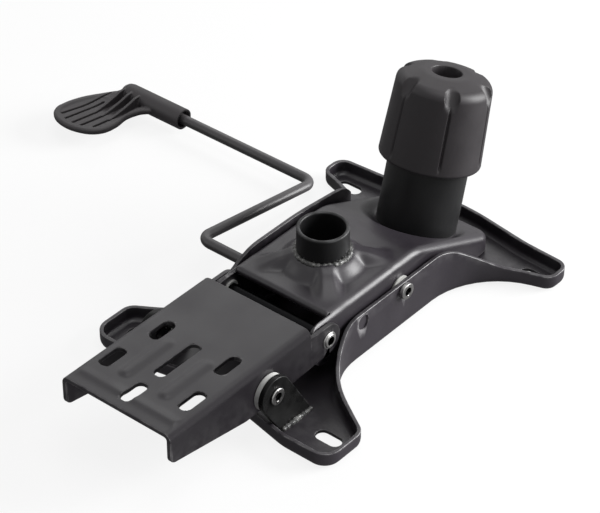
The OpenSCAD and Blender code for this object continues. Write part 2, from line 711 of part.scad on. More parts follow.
// Knob: a tapered cup with a hub that holds the nut
knob_r = knob_d / 2;
knob_end_r = knob_r - knob_taper / 2;
knob_roof = 4.1;
hub_wall = 4.5;
hub_r = nut_r + hub_wall;
dome_rim = 5.7;
dome_r = knob_hole_d / 2 + dome_rim;
groove_low = 6;
groove_turn = 15;
notch_d = 9.5;
notch_h = 12;
notch_lean = 30;
knob_lean = atan(knob_taper / 2 / knob_h);
rim_round = 1.5;
knob_section = rounded([[0, 0], [knob_r, 0], [knob_end_r, knob_h - dome_drop], [dome_r, knob_h],
    [0, knob_h]], [0, rim_round, knob_top_r, 0, 0]);
hollow_h = knob_h - dome_drop - knob_top_r;
knob_hollow = [[0, -cut], [knob_r - knob_wall, -cut], [knob_end_r - knob_wall, hollow_h],
    [dome_r, knob_h - knob_roof], [0, knob_h - knob_roof]];
module tension_knob() color(dark) on_tube_axis() difference() {
    union() {
        translate([0, 0, knob_rim]) difference() {
            rotate_extrude() polygon(knob_section);
            rotate_extrude() polygon(knob_hollow);
        }
        translate([0, 0, nut_low]) cylinder(r = hub_r, h = knob_top - nut_low - knob_roof / 2);
    }
    translate([0, 0, nut_low - cut]) cylinder(r = nut_r, h = knob_nut_h + cut, $fn = 6);
    translate([0, 0, nut_top]) cylinder(d = knob_hole_d, h = knob_h);
    for (i = [0:knob_grooves - 1]) rotate([0, 0, groove_turn + 360 * i / knob_grooves]) {
        translate([knob_r, 0, knob_rim]) rotate([0, -knob_lean, 0]) translate([0, 0, groove_low])
            cylinder(d = groove_w, h = knob_h);
        translate([knob_end_r + notch_d / 3, 0, knob_top - notch_h]) rotate([0, -notch_lean, 0])
            cylinder(d = notch_d, h = knob_h);
    }
}
module knob_nut() color(zinc) on_tube_axis() translate([0, 0, nut_low]) difference() {
    cylinder(r = nut_r, h = knob_nut_h, $fn = 6);
    translate([0, 0, -cut]) cylinder(r = bolt_r + run_gap, h = knob_nut_h + 2 * cut);
}

// Lock bush: it slides in the side wall and its nose enters the flange window when the lever is pulled
lever_pin_r = 1.5;
pin_sink = 0.5;
module pivot_pin_bar(r, half) translate([-lever_pin_x, lever_pivot.x - half, lever_pivot.y])
    rotate([-90, 0, 0]) cylinder(r = r, h = 2 * half);
module lock_bush() color(nylon) difference() {
    union() {
        cross_bar(nose_r, -nose_end, -bush_inner, lever_pivot);
        cross_bar(bush_head_r, -head_face, -bush_inner, lever_pivot);
    }
    cross_bar(bush_bore, -nose_end - cut, -bush_inner + cut, lever_pivot);
    pivot_pin_bar(lever_pin_r, bush_head_r + cut);
}
module lever_pin() color(steel) pivot_pin_bar(lever_pin_r, bush_head_r - pin_sink);

// Lever rod: a straight inner end with a finger under the socket, a crank and an outer arm
finger_x = -4;
finger_past = 6;
finger_len = socket_y - lever_pivot.x + finger_past;
grip_bottom = 8;
rod_end = grip_start + sleeve_len - grip_bottom;
module in_crank_plane() translate([0, lever_pivot.x, lever_pivot.y]) rotate([-crank_drop, 0, 0]) children();
module rod_run(from, to) translate(from) rotate([0, 90, atan2(to.y - from.y, to.x - from.x)])
    cylinder(r = rod_r, h = norm(to - from));
module rod_turn(centre, start) translate(centre) rotate([0, 0, start]) rotate_extrude(angle = 90)
    translate([rod_bend, 0]) circle(r = rod_r);
module lever_rod() color(black) difference() {
    union() {
        in_crank_plane() {
            rod_run([finger_x, 0, 0], [-crank_x + rod_bend, 0, 0]);
            rod_turn([-crank_x + rod_bend, rod_bend, 0], 180);
            rod_run([-crank_x, rod_bend, 0], [-crank_x, crank_len - rod_bend, 0]);
            rod_turn([-crank_x - rod_bend, crank_len - rod_bend, 0], 0);
            rod_run([-crank_x - rod_bend, crank_len, 0], [-rod_end, crank_len, 0]);
        }
        translate([0, lever_pivot.x, lever_pivot.y]) {
            translate([finger_x, 0, 0]) sphere(r = rod_r);
            rod_run([finger_x, 0, 0], [finger_x, finger_len, 0]);
        }
    }
    pivot_pin_bar(lever_pin_r + run_gap, rod_d);
}

// Grip: a sleeve over the rod's end and a ribbed paddle that points to the rear
grip_y = lever_pivot.x + crank_len * cos(crank_drop);
grip_z = lever_pivot.y - crank_len * sin(crank_drop);
grip_end = grip_start + sleeve_len;
// The paddle's outline from the sleeve's mouth round its end and back to the elbow
paddle_low = 1;
paddle_bulge = 28;
neck_w = 12;
neck_len = 20;
cheek = 20;
end_in = [12, 5];
paddle_end = grip_y - paddle_len;
paddle_left = -grip_end - paddle_bulge;
paddle_right = paddle_left + paddle_w;
paddle_view = rounded([[-grip_start - neck_w, grip_y - sleeve_d / 4], [paddle_right, grip_y - neck_len],
    [paddle_right, paddle_end + cheek], [paddle_right - end_in[1], paddle_end],
    [paddle_left + end_in[0], paddle_end], [paddle_left, paddle_end + cheek],
    [-grip_end - sleeve_d / 2, grip_y], [-grip_end, grip_y + sleeve_d / 4]],
    [0, 10, 18, 16, 18, 20, 4, 3]);
// Grooves that fan out over the paddle
rib_cuts = 5;
rib_cut_w = 1.6;
rib_cut_h = 0.8;
rib_fan = 7;
rib_heading = -104;
rib_root = 14;
rib_start = [-grip_end + sleeve_d / 4, grip_y];
mouth_depth = 6;
mouth_wall = 1.6;
module lever_grip() color(dark) difference() {
    union() {
        cross_bar(sleeve_d / 2, -grip_end, -grip_start, [grip_y, grip_z]);
        translate([-grip_end, grip_y, grip_z]) sphere(d = sleeve_d);
        translate([0, 0, grip_z + paddle_low]) linear_extrude(paddle_t) polygon(paddle_view);
    }
    cross_bar(rod_r, -rod_end, -grip_start + cut, [grip_y, grip_z]);
    cross_bar(sleeve_d / 2 - mouth_wall, -grip_start - mouth_depth, -grip_start + cut, [grip_y, grip_z]);
    for (i = [0:rib_cuts - 1])
        translate([rib_start.x, rib_start.y, grip_z + paddle_low + paddle_t - rib_cut_h])
            rotate([0, 0, rib_heading + rib_fan * (i - rib_cuts / 2)])
                translate([rib_root, -rib_cut_w / 2, 0]) cube([paddle_len / 2, rib_cut_w, paddle_t]);
}

seat_plate();
seat_lug_left();
seat_lug_right();
link_screws();
link_washers();
link_nuts();
spring_anchor();
housing();
gas_lift_socket();
socket_support();
spring_tube();
seat_pivot_screws();
seat_pivot_nuts();
seat_pivot_washers();
back_pivot_bushes();
tension_spring();
back_bracket();
back_pivot_pin();
tension_bolt();
anchor_rocker();
spring_seat();
tension_knob();
knob_nut();
lock_bush();
lever_pin();
lever_rod();
lever_grip();
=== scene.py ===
# %% [markdown]
# # The tilt mechanism of an office chair
# A tilt mechanism joins the seat of an office chair to its gas lift and its back. Here it lies on its
# seat face, as it does on a shop's table: pressed steel under black powder coat, a moulded knob over the
# tension spring, and a bent lever with a moulded paddle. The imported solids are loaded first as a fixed
# frame, and each piece is then modelled over its solid with the finer forms that pressing, welding and
# moulding leave.

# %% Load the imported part
from contextlib import contextmanager
from math import ceil, copysign, cos, exp, hypot, pi, radians, sin, sqrt, tan

import bmesh
import bpy
from mathutils import Matrix, Vector, noise


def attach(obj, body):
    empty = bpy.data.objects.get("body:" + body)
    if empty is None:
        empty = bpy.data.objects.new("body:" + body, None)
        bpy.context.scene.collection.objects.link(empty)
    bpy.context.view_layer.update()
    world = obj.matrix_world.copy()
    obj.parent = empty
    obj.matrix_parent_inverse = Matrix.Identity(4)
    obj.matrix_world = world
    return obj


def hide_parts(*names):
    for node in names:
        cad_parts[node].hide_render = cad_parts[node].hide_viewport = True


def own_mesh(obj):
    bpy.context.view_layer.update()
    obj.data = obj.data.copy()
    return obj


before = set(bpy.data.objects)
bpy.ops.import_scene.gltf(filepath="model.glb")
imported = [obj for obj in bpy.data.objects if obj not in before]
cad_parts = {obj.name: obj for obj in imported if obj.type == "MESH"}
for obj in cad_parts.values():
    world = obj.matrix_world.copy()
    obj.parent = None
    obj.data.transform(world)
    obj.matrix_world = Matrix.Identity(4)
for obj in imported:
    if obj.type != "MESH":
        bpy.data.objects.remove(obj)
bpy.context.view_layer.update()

MM = 0.001

# %% [markdown]
# ## Camera
# The view was found by fitting a pinhole camera to known points of the mechanism. Its place and its
# turning angles are given, and the focal length is long, as in most product pictures.

# %% Camera
VIEW_AZIMUTH, VIEW_ELEVATION, VIEW_ROLL = 39.761, 37.010, 0.109
VIEW_PLACE, VIEW_LENS, SENSOR, FAR_CLIP = Vector((779.5, -976.0, 981.7)), 151.93, 36, 20
turn = (Matrix.Rotation(radians(VIEW_AZIMUTH), 4, "Z")
        @ Matrix.Rotation(radians(90 - VIEW_ELEVATION), 4, "X")
        @ Matrix.Rotation(radians(VIEW_ROLL), 4, "Z"))
bpy.ops.object.camera_add()
camera = bpy.context.object
camera.matrix_world = Matrix.Translation(VIEW_PLACE * MM) @ turn
camera.data.sensor_width, camera.data.lens, camera.data.clip_end = SENSOR, VIEW_LENS, FAR_CLIP
bpy.context.scene.camera = camera
print("camera lens:", camera.data.lens, "mm")

# %% [markdown]
# ## Shader nodes
# In the Shader Editor one adds a node, sets its fields and drags wires. Short functions do the same here:
# an input keeps the number or colour that it is given, and gets a wire if it is given a node's output.

# %% Add and wire shader nodes
def feed(tree, made, inputs):
    for key, value in inputs.items():
        if isinstance(value, bpy.types.NodeSocket):
            tree.links.new(value, made.inputs[key])
        else:
            made.inputs[key].default_value = value
    return made


def node(tree, kind, inputs=None, **settings):
    made = tree.nodes.new("ShaderNode" + kind)
    for key, value in settings.items():
        setattr(made, key, value)
    return feed(tree, made, inputs or {})


def blend(tree, factor, first, second):
    """A colour between two others"""
    return node(tree, "Mix", {"Factor": factor, 6: first, 7: second}, data_type="RGBA").outputs[2]


def seen_rays(tree, eye, mirror):
    """A share for rays from the camera, one for rays from a mirror, and nought for light that spreads"""
    path, total = node(tree, "LightPath").outputs, 0
    for name, share in (("Is Camera Ray", eye), ("Is Glossy Ray", mirror), ("Is Transmission Ray", mirror)):
        total = node(tree, "Math", {0: path[name], 1: share, 2: total}, operation="MULTIPLY_ADD").outputs[0]
    return total


print("node tools ready")

# %% [markdown]
# ## Studio
# A large soft lamp hangs above, one behind the part puts a sheen on its level faces, a tall one stands to
# the right of the picture, a low strip lights upright walls, and a weak lamp fills the left. World and floor
# are white to the eye, but light the part only dimly, and the floor is dim in reflections too, so black
# steel keeps its depth. The Light Path node tells these rays apart.

# %% Studio lamps
def area_lamp(name, place, aim, size, watts):
    bpy.ops.object.light_add(type="AREA", location=place)
    lamp = bpy.context.object
    lamp.name = name
    lamp.data.shape = "RECTANGLE"
    lamp.data.size, lamp.data.size_y = size
    lamp.data.energy = watts
    lamp.rotation_euler = (Vector(aim) - Vector(place)).to_track_quat("-Z", "Y").to_euler()
    return lamp


area_lamp("lamp_above", (0.2, 0.1, 1.5), (0, 0, 0), (1.2, 1.0), 9)
area_lamp("lamp_behind", (-0.85, 1.0, 1.05), (0, 0, 0.05), (1.2, 0.7), 3.5)
lamp_right = area_lamp("lamp_right", (1.05, 1.02, 0.5), (0, 0, 0.05), (0.8, 1.0), 60)
lamp_low = area_lamp("lamp_low", (0.55, -0.3, 0.028), (0, -0.12, 0.028), (0.5, 0.04), 2.4)
lamp_low.visible_camera = False
area_lamp("lamp_left", (-1.1, -0.9, 0.7), (0, 0, 0.05), (0.5, 0.6), 1.2)
print("lamps:", [lamp.name for lamp in bpy.data.lights])

# %% World and floor
WHITE, WORLD_LIGHT = (1, 1, 1, 1), 0.09
PAPER_DIM, PAPER_WHITE, PAPER_ROUGH = (0.13, 0.13, 0.13, 1), (0.85, 0.85, 0.85, 1), 0.9
FLOOR_GLOW, FLOOR_MIRRORED = 0.86, 0.12
FLOOR_SIZE, FLOOR_Z = 12, -0.0003
bpy.context.scene.view_settings.view_transform = "Standard"
world = bpy.data.worlds.new("studio")
bpy.context.scene.world = world
world.use_nodes = True
tree = world.node_tree
tree.nodes.clear()
dim = node(tree, "Background", {"Color": WHITE, "Strength": WORLD_LIGHT})
bright = node(tree, "Background", {"Color": WHITE})
mix = node(tree, "MixShader", {0: seen_rays(tree, 1, 1), 1: dim.outputs[0], 2: bright.outputs[0]})
node(tree, "OutputWorld", {0: mix.outputs[0]})

bpy.ops.mesh.primitive_plane_add(size=FLOOR_SIZE, location=(0, 0, FLOOR_Z))
floor = bpy.context.object
floor.name = "floor"
paper = bpy.data.materials.new("white_paper")
paper.use_nodes = True
tree = paper.node_tree
matt = feed(tree, tree.nodes["Principled BSDF"], {
    "Base Color": blend(tree, seen_rays(tree, 1, 0), PAPER_DIM, PAPER_WHITE), "Roughness": PAPER_ROUGH})
shine, glow = node(tree, "Emission"), seen_rays(tree, FLOOR_GLOW, FLOOR_MIRRORED)
mix = node(tree, "MixShader", {0: glow, 1: matt.outputs[0], 2: shine.outputs[0]})
feed(tree, tree.nodes["Material Output"], {0: mix.outputs[0]})
floor.data.materials.append(paper)
print("studio ready")

# %% [markdown]
# ## Finishes
# Powder coat is a baked plastic skin: nearly black, with a fine orange peel and small changes of gloss.
# On worn or bent edges it thins and looks lighter, and the same edges get a painted highlight where light
# would catch them. Both effects serve several finishes, so each is a shader node group: one gives grain
# from Object coordinates, the other lightens what the `edge` attribute marks, as wear and painted highlight.
# A second attribute paints shade into the screw keys and darkens the middle of the back pivot pin.

# %% Node groups for grain and for worn and highlighted edges
FLOAT, COLOUR = "NodeSocketFloat", "NodeSocketColor"
PEEL_DETAIL, CLOUD_DETAIL, PATCH_DETAIL, PATCH_SCALE = 2, 5, 4, 160
PATCH_LOW, PATCH_HIGH = 0.38, 0.62


def node_group(name, inputs, outputs):
    tree = bpy.data.node_groups.new(name, "ShaderNodeTree")
    for label, kind, value in inputs:
        tree.interface.new_socket(label, in_out="INPUT", socket_type=kind).default_value = value
    for label, kind in outputs:
        tree.interface.new_socket(label, in_out="OUTPUT", socket_type=kind)
    return tree, tree.nodes.new("NodeGroupInput").outputs, tree.nodes.new("NodeGroupOutput")


def noise_value(tree, scale, detail):
    """Noise that is fixed to the piece"""
    place = node(tree, "TexCoord").outputs["Object"]
    return node(tree, "TexNoise", {"Vector": place, "Scale": scale, "Detail": detail}).outputs[0]


grain_group, came, went = node_group(
    "coat_grain", [("Peel scale", FLOAT, 900), ("Cloud scale", FLOAT, 45)],
    [("Peel", FLOAT), ("Cloud", FLOAT)])
feed(grain_group, went, {
    "Peel": noise_value(grain_group, came["Peel scale"], PEEL_DETAIL),
    "Cloud": noise_value(grain_group, came["Cloud scale"], CLOUD_DETAIL)})

# The edge colour is partly wear in patches and partly a painted highlight where light would catch the edge
wear_highlight_group, came, went = node_group(
    "edge_wear_and_highlight", [("Coat", COLOUR, (0, 0, 0, 1)), ("Bare and highlight", COLOUR, (1, 1, 1, 1)), ("Amount", FLOAT, 0.5)],
    [("Color", COLOUR)])
edge = node(wear_highlight_group, "Attribute", attribute_name="edge")
patches = noise_value(wear_highlight_group, PATCH_SCALE, PATCH_DETAIL)
patchy = node(wear_highlight_group, "MapRange", {"Value": patches, "From Min": PATCH_LOW, "From Max": PATCH_HIGH})
wear_and_light = node(wear_highlight_group, "Math", {0: edge.outputs["Fac"], 1: patchy.outputs[0]}, operation="MULTIPLY")
some = node(wear_highlight_group, "Math", {0: wear_and_light.outputs[0], 1: came["Amount"]}, operation="MULTIPLY")
feed(wear_highlight_group, went, {"Color": blend(wear_highlight_group, some.outputs[0], came["Coat"], came["Bare and highlight"])})
print("node groups:", grain_group.name, wear_highlight_group.name)

# %% [markdown]
# One function lays out every finish, so each is only its two colours, its range of roughness and what sets
# it apart. A look is a finish with the slot that it paints.

# %% One function lays out every finish
# Painted shade: the near-black laid into the screw keys, and onto the middle of the back pivot pin
SHADE_AND_DARK = (0.008, 0.008, 0.0085, 1)
CLOUD_LOW, CLOUD_HIGH = 0.3, 0.7


def finish(name, dark, light, rough, peel=900, cloud=45, depth=0.00012, bump=0.2, metal=0.0, specular=0.5,
           bare_and_highlight=(0.3, 0.3, 0.3), wear_and_highlight=0.4):
    """A finish whose colour drifts from dark to light, with its gloss, and whose skin has grain"""
    made = bpy.data.materials.new(name)
    made.use_nodes = True
    tree = made.node_tree
    grain = node(tree, "Group", {"Peel scale": peel, "Cloud scale": cloud}, node_tree=grain_group).outputs
    coat = blend(tree, grain["Cloud"], (*dark, 1), (*light, 1))
    # edges lighter as wear and as painted highlight
    worn_and_lit = node(tree, "Group", {"Coat": coat, "Bare and highlight": (*bare_and_highlight, 1), "Amount": wear_and_highlight}, node_tree=wear_highlight_group)
    # this attribute lays painted shade into the screw keys and darkens the back pivot pin's middle
    painted_shade_and_dark = node(tree, "Attribute", attribute_name="painted_shade_and_dark")
    gloss = node(tree, "MapRange", {
        "Value": grain["Cloud"], "From Min": CLOUD_LOW, "From Max": CLOUD_HIGH,
        "To Min": rough[0], "To Max": rough[1]})
    skin = node(tree, "Bump", {"Strength": bump, "Distance": depth, "Height": grain["Peel"]})
    feed(tree, tree.nodes["Principled BSDF"], {
        "Base Color": blend(tree, painted_shade_and_dark.outputs["Fac"], worn_and_lit.outputs["Color"], SHADE_AND_DARK), "Metallic": metal,
        "Specular IOR Level": specular, "Roughness": gloss.outputs[0], "Normal": skin.outputs[0]})
    return made


NYLON_SKIN = {"peel": 600, "cloud": 90, "depth": 0.00006}
MOULDED_SKIN = {
    "rough": (0.46, 0.56), "peel": 2200, "cloud": 60, "depth": 0.0001, "bump": 0.25, "specular": 0.35,
    "bare_and_highlight": (0.05, 0.05, 0.05), "wear_and_highlight": 0.3}
powder_coat = finish(
    "powder_coat", (0.0128, 0.0107, 0.0138), (0.0192, 0.0166, 0.0206), (0.33, 0.45), specular=0.4,
    bare_and_highlight=(0.22, 0.215, 0.22), wear_and_highlight=0.75)
# Painted shade: a darker copy of the powder coat for the spring tube and the gas lift socket
shaded_tube_coat = finish(
    "shaded_tube_coat", (0.0055, 0.0055, 0.0058), (0.0085, 0.0085, 0.009), (0.4, 0.48), specular=0.25,
    bare_and_highlight=(0.12, 0.12, 0.125), wear_and_highlight=0.5)
weld_crust = finish(
    "weld_crust", (0.008, 0.008, 0.008), (0.03, 0.03, 0.03), (0.25, 0.5), peel=500, cloud=420, depth=0.0008,
    bump=0.8, specular=0.4, bare_and_highlight=(0.5, 0.5, 0.48), wear_and_highlight=0.38)
zinc_plate = finish(
    "zinc_plate", (0.3, 0.295, 0.29), (0.42, 0.415, 0.41), (0.24, 0.4), peel=700, cloud=120, depth=0.00005,
    metal=1.0, bare_and_highlight=(0.62, 0.61, 0.6), wear_and_highlight=0.5)
oiled_spring = finish("oiled_spring", (0.2, 0.2, 0.205), (0.3, 0.3, 0.31), (0.28, 0.42), metal=1.0)
# Painted shade: a darker copy of the powder coat for the seat lugs
shaded_lug_coat = finish(
    "shaded_lug_coat", (0.003, 0.003, 0.003), (0.0065, 0.0065, 0.0065), (0.22, 0.36), specular=0.1,
    bare_and_highlight=(0.2, 0.2, 0.2), wear_and_highlight=0.15)
grey_nylon = finish(
    "grey_nylon", (0.17, 0.17, 0.165), (0.26, 0.26, 0.25), (0.4, 0.55), bare_and_highlight=(0.4, 0.4, 0.38), wear_and_highlight=0.3,
    **NYLON_SKIN)
nylon = finish(
    "nylon", (0.5, 0.5, 0.49), (0.58, 0.58, 0.565), (0.42, 0.55), bare_and_highlight=(0.62, 0.62, 0.6), wear_and_highlight=0.2,
    **NYLON_SKIN)
# Painted light: a lighter copy of the black steel coat for the lever rod, standing in for the light on it
lit_rod_coat = finish(
    "lit_rod_coat", (0.052, 0.0495, 0.0515), (0.064, 0.061, 0.0635), (0.34, 0.44), specular=0.35,
    bare_and_highlight=(0.12, 0.12, 0.12), wear_and_highlight=0.3)
dark_moulding = finish("dark_moulding", (0.0118, 0.0098, 0.0113), (0.0164, 0.0138, 0.0158), **MOULDED_SKIN)
# Painted light: the grip's moulding is made lighter than dark_moulding to stand in for the flagged right lamp
lit_grip_moulding = finish("lit_grip_moulding", (0.046, 0.042, 0.0445), (0.056, 0.051, 0.054), **MOULDED_SKIN)
COAT, ZINC, NYLON = ("black_steel", powder_coat), ("zinc_steel", zinc_plate), ("pale_nylon", nylon)
SHADED_LUG, SHADED_TUBE, WELD = (("black_steel", coat) for coat in (shaded_lug_coat, shaded_tube_coat, weld_crust))
OILED = ("spring_steel", oiled_spring)
print("finishes:", [m.name for m in bpy.data.materials if m.use_nodes])

# %% [markdown]
# ## Tools of the bench
# Most pieces here are sheets, tubes and turned parts, and all of them can be made as one does by hand: add
# a circle, then extrude it ring by ring and put each new ring in its place. A few short functions do the
# selecting, the extruding and the finishing, so that each piece below is only its sizes.

# %% Select, edit and apply
def only(piece):
    bpy.ops.object.select_all(action="DESELECT")
    if piece:
        piece.select_set(True)
        bpy.context.view_layer.objects.active = piece


def primitive(name, add, **settings):
    only(None)
    add(**settings)
    piece = bpy.context.object
    piece.name = piece.data.name = name
    return piece


def select(action):
    bpy.ops.mesh.select_all(action=action)


@contextmanager
def editing(piece):
    only(piece)
    bpy.ops.object.mode_set(mode="EDIT")
    bpy.ops.mesh.select_mode(type="VERT")
    select("DESELECT")
    yield
    bpy.ops.object.mode_set(mode="OBJECT")


def modify(piece, kind, **settings):
    only(piece)
    made = piece.modifiers.new(kind.lower(), kind)
    for key, value in settings.items():
        setattr(made, key, value)
    bpy.ops.object.modifier_apply(modifier=made.name)


def round_edges(piece, width, angle=40):
    modify(piece, "BEVEL", width=width * MM, segments=2, limit_method="ANGLE",
           angle_limit=radians(angle), use_clamp_overlap=False, miter_outer="MITER_ARC")


def carve(piece, tool, operation="DIFFERENCE", solver="EXACT"):
    modify(piece, "BOOLEAN", object=tool, operation=operation, solver=solver)
    bpy.data.objects.remove(tool)


def joined(first, *others):
    only(first)
    for other in others:
        other.select_set(True)
    bpy.ops.object.join()
    return first


def outward(piece):
    with editing(piece):
        select("SELECT")
        bpy.ops.mesh.normals_make_consistent(inside=False)


print("bench: select, edit and apply")

# %% [markdown]
# Extrude leaves the new points selected, each joined to its old one by an edge, so they can be found and put
# where they belong. A ring that is grown again and again becomes a skin, and so does the edge of a grid.

# %% Extrude a ring step by step
def edit_mesh(piece):
    mesh = bmesh.from_edit_mesh(piece.data)
    mesh.verts.index_update()
    mesh.verts.ensure_lookup_table()
    return mesh


def put(piece, ring, points):
    mesh = edit_mesh(piece)
    for i, point in zip(ring, points):
        mesh.verts[i].co = Vector(point) * MM
    bmesh.update_edit_mesh(piece.data)


def grow(piece, ring, points):
    """Extrudes the selected ring or path and puts its new points in place"""
    bpy.ops.mesh.extrude_region_move()
    mesh = edit_mesh(piece)
    grown = []
    for i in ring:
        old = mesh.verts[i]
        grown.append(next(e.other_vert(old).index for e in old.link_edges if e.other_vert(old).select))
    put(piece, grown, points)
    return grown


def pick(piece, indices):
    select("DESELECT")
    mesh = edit_mesh(piece)
    for i in indices:
        mesh.verts[i].select = True
    mesh.select_flush(True)
    bmesh.update_edit_mesh(piece.data)


def swept(name, rings, caps=2, loop=False):
    """A skin through closed rings of points in millimetres, with a cap at no end, the first or both"""
    count = len(rings[0])
    piece = primitive(name, bpy.ops.mesh.primitive_circle_add, vertices=count, radius=MM,
                      fill_type="NOTHING")
    with editing(piece):
        select("SELECT")
        first = last = list(range(count))
        put(piece, first, rings[0])
        for points in rings[1:]:
            last = grow(piece, last, points)
        if loop:
            pick(piece, first + last)
            bpy.ops.mesh.bridge_edge_loops()
        for ring in (first, last)[:0 if loop else caps]:
            pick(piece, ring)
            bpy.ops.mesh.edge_face_add()
    outward(piece)
    return piece


def laid_grid(name, points):
    """A grid put in place row by row, with the indices of its points in the same rows"""
    piece = primitive(name, bpy.ops.mesh.primitive_grid_add, x_subdivisions=len(points[0]) - 1,
                      y_subdivisions=len(points) - 1, size=1)
    verts, width = piece.data.vertices, len(points[0])
    order = sorted(range(len(verts)), key=lambda i: (round(verts[i].co.y, 5), verts[i].co.x))
    with editing(piece):
        put(piece, order, [p for row in points for p in row])
    return piece, [order[j:j + width] for j in range(0, len(order), width)]


print("bench: extrude")

# %% [markdown]
# Outlines are drawn as corners with a radius each, as on a workshop drawing. Small functions round the
# corners, find the way sideways along a path, read a height off a path and soften a step.

# %% Outlines with rounded corners
def fillet(before, at, after, radius, steps):
    come, go = (before - at).normalized(), (after - at).normalized()
    half = come.angle(go) / 2
    centre = at + (come + go).normalized() * radius / sin(half)
    first, last = (at + way * radius / tan(half) - centre for way in (come, go))
    return [centre + first.slerp(last, i / steps).normalized() * radius for i in range(steps + 1)]


def rounded(corners, radii, steps, closed=True, gap=None):
    """A path in which each corner is an arc; long straight runs are divided to the gap"""
    corners = [Vector((*corner, 0)) for corner in corners]
    path = []
    for i, (at, radius) in enumerate(zip(corners, radii)):
        inner = closed or 0 < i < len(corners) - 1
        after = corners[(i + 1) % len(corners)]
        path += fillet(corners[i - 1], at, after, radius, steps) if radius and inner else [at]
    if not gap:
        return path
    divided = []
    for i, point in enumerate(path):
        divided.append(point)
        if i < len(path) - 1 or closed:
            step = path[(i + 1) % len(path)] - point
            parts = max(1, ceil(step.length / gap))
            divided += [point + step * k / parts for k in range(1, parts)]
    return divided


def neighbours(path, i, closed):
    """The points before and after one of a path; the end of an open path is its own neighbour"""
    return (path[i - 1] if closed or i else path[i],
            path[(i + 1) % len(path)] if closed or i < len(path) - 1 else path[i])


def side_normals(path, closed=True):
    """The level direction that points to the right of the path at each of its points"""
    normals = []
    for i, point in enumerate(path):
        before, after = neighbours(path, i, closed)
        ahead = ((point - before).normalized() + (after - point).normalized()).normalized()
        normals.append(Vector((ahead.y, -ahead.x, 0)))
    return normals


def table(path, x):
    """Height of a path of (x, height) points at x"""
    for a, b in zip(path, path[1:]):
        if a[0] <= x <= b[0]:
            return a[1] + (b[1] - a[1]) * (x - a[0]) / max(b[0] - a[0], 1e-9)
    return path[0][1] if x < path[0][0] else path[-1][1]


def step_up(low, high, value):
    share = min(1.0, max(0.0, (value - low) / (high - low)))
    return share * share * (3 - 2 * share)


def soft_ramp(value, soft):
    """Nought below, the value itself above, and a smooth bend within soft of the corner"""
    return 0 if value < -soft else value if value > soft else (value + soft) ** 2 / (4 * soft)


def spread(low, high, parts):
    return [low + (high - low) * i / parts for i in range(parts + 1)]


def fold(radius, steps):
    """How far out and how far down a fold has come after each part of a quarter turn"""
    return [(radius * sin(a), radius * (1 - cos(a))) for a in spread(0, radians(90), steps)]


print("bench: outlines")

# %% [markdown]
# Three basic forms come from these: a turned part, a round bar along a path, and an outline pushed
# straight. The last two are also the cutting tools of the Boolean modifier.

# %% Turned parts, bars and prisms
def angles(count):
    return [2 * pi * i / count for i in range(count)]


def polar(r, a, z):
    return Vector((r * cos(a), r * sin(a), z))


def turned(name, profile, place, sides=96):
    """A turned part: a closed profile of (radius, height) points goes round the axis"""
    return swept(name, [[place @ polar(r, a, z) for a in angles(sides)] for r, z in profile], loop=True)


def ring_round(point, side, up, radius, sides):
    return [point + radius * (side * cos(a) + up * sin(a)) for a in angles(sides)]


def tube_along(name, path, radius, sides):
    """A round bar that follows a path; radius may be a list, one value for each point"""
    radii = radius if isinstance(radius, list) else [radius] * len(path)
    rings, side = [], None
    for i, point in enumerate(path):
        before, after = neighbours(path, i, False)
        ahead = (after - before).normalized()
        side = (side - ahead * side.dot(ahead)).normalized() if side else ahead.orthogonal().normalized()
        rings.append(ring_round(point, side, ahead.cross(side), radii[i], sides))
    return swept(name, rings)


def prism(outline, axis, low, high):
    """An outline pushed along an axis: z takes (x, y) points and x takes (y, z) points"""
    return swept("tool", [[(p[0], p[1], h) if axis == "z" else (h, p[0], p[1]) for p in outline]
                          for h in (low, high)])


def bar_tool(radius, x0, x1, at):
    """A round bar across the part, at a place of the side view"""
    return tube_along("tool", [Vector((x, *at)) for x in (x0, x1)], radius, 48)


print("bench: basic forms")

# %% [markdown]
# A finished piece gets its bent edges marked for wear and painted highlight, its shading smoothed and its
# material; it hangs on the empty of the body that carries it, and the solids it stands for are hidden.

# %% Hand a finished piece to the frame
EDGE_LOW, EDGE_HIGH = 0.3, 0.7
MERGE, FLAT_ANGLE = 1e-6, radians(1)


def mark_edges(piece):
    """Stores how sharply the surface bends outwards at each point, for the worn and highlighted edges"""
    mesh = bmesh.new()
    mesh.from_mesh(piece.data)
    layer = mesh.verts.layers.float.new("edge")
    for vert in mesh.verts:
        bends = [e.calc_face_angle(0) for e in vert.link_edges if len(e.link_faces) == 2 and e.is_convex]
        vert[layer] = step_up(EDGE_LOW, EDGE_HIGH, max(bends, default=0))
    mesh.to_mesh(piece.data)
    mesh.free()


def settle(piece, body, look, stands_for=(), angle=50):
    slot, material = look
    only(piece)
    bpy.ops.object.transform_apply(location=True, rotation=True, scale=True)
    mark_edges(piece)
    bpy.ops.object.shade_smooth_by_angle(angle=radians(angle))
    modify(piece, "WEIGHTED_NORMAL", keep_sharp=True)
    piece.data.materials.clear()
    piece.data.materials.append(material)
    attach(piece, body)
    if stands_for:
        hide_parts(*stands_for)
    print(piece.name, "faces:", len(piece.data.polygons))


def softened(name, width):
    """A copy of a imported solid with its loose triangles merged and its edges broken"""
    piece = bpy.data.objects.new(name + "_eased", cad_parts[name].data.copy())
    bpy.context.collection.objects.link(piece)
    with editing(piece):
        select("SELECT")
        bpy.ops.mesh.remove_doubles(threshold=MERGE)
        bpy.ops.mesh.dissolve_limited(angle_limit=FLAT_ANGLE)
    round_edges(piece, width)
    return piece


print("bench ready")

# %% [markdown]
# ## Shared places
# Several pieces meet on the same axes, so these are named once, in millimetres: the cross pivots in the
# side view, the middle of the gas lift socket, and the leaning axis of spring and knob.

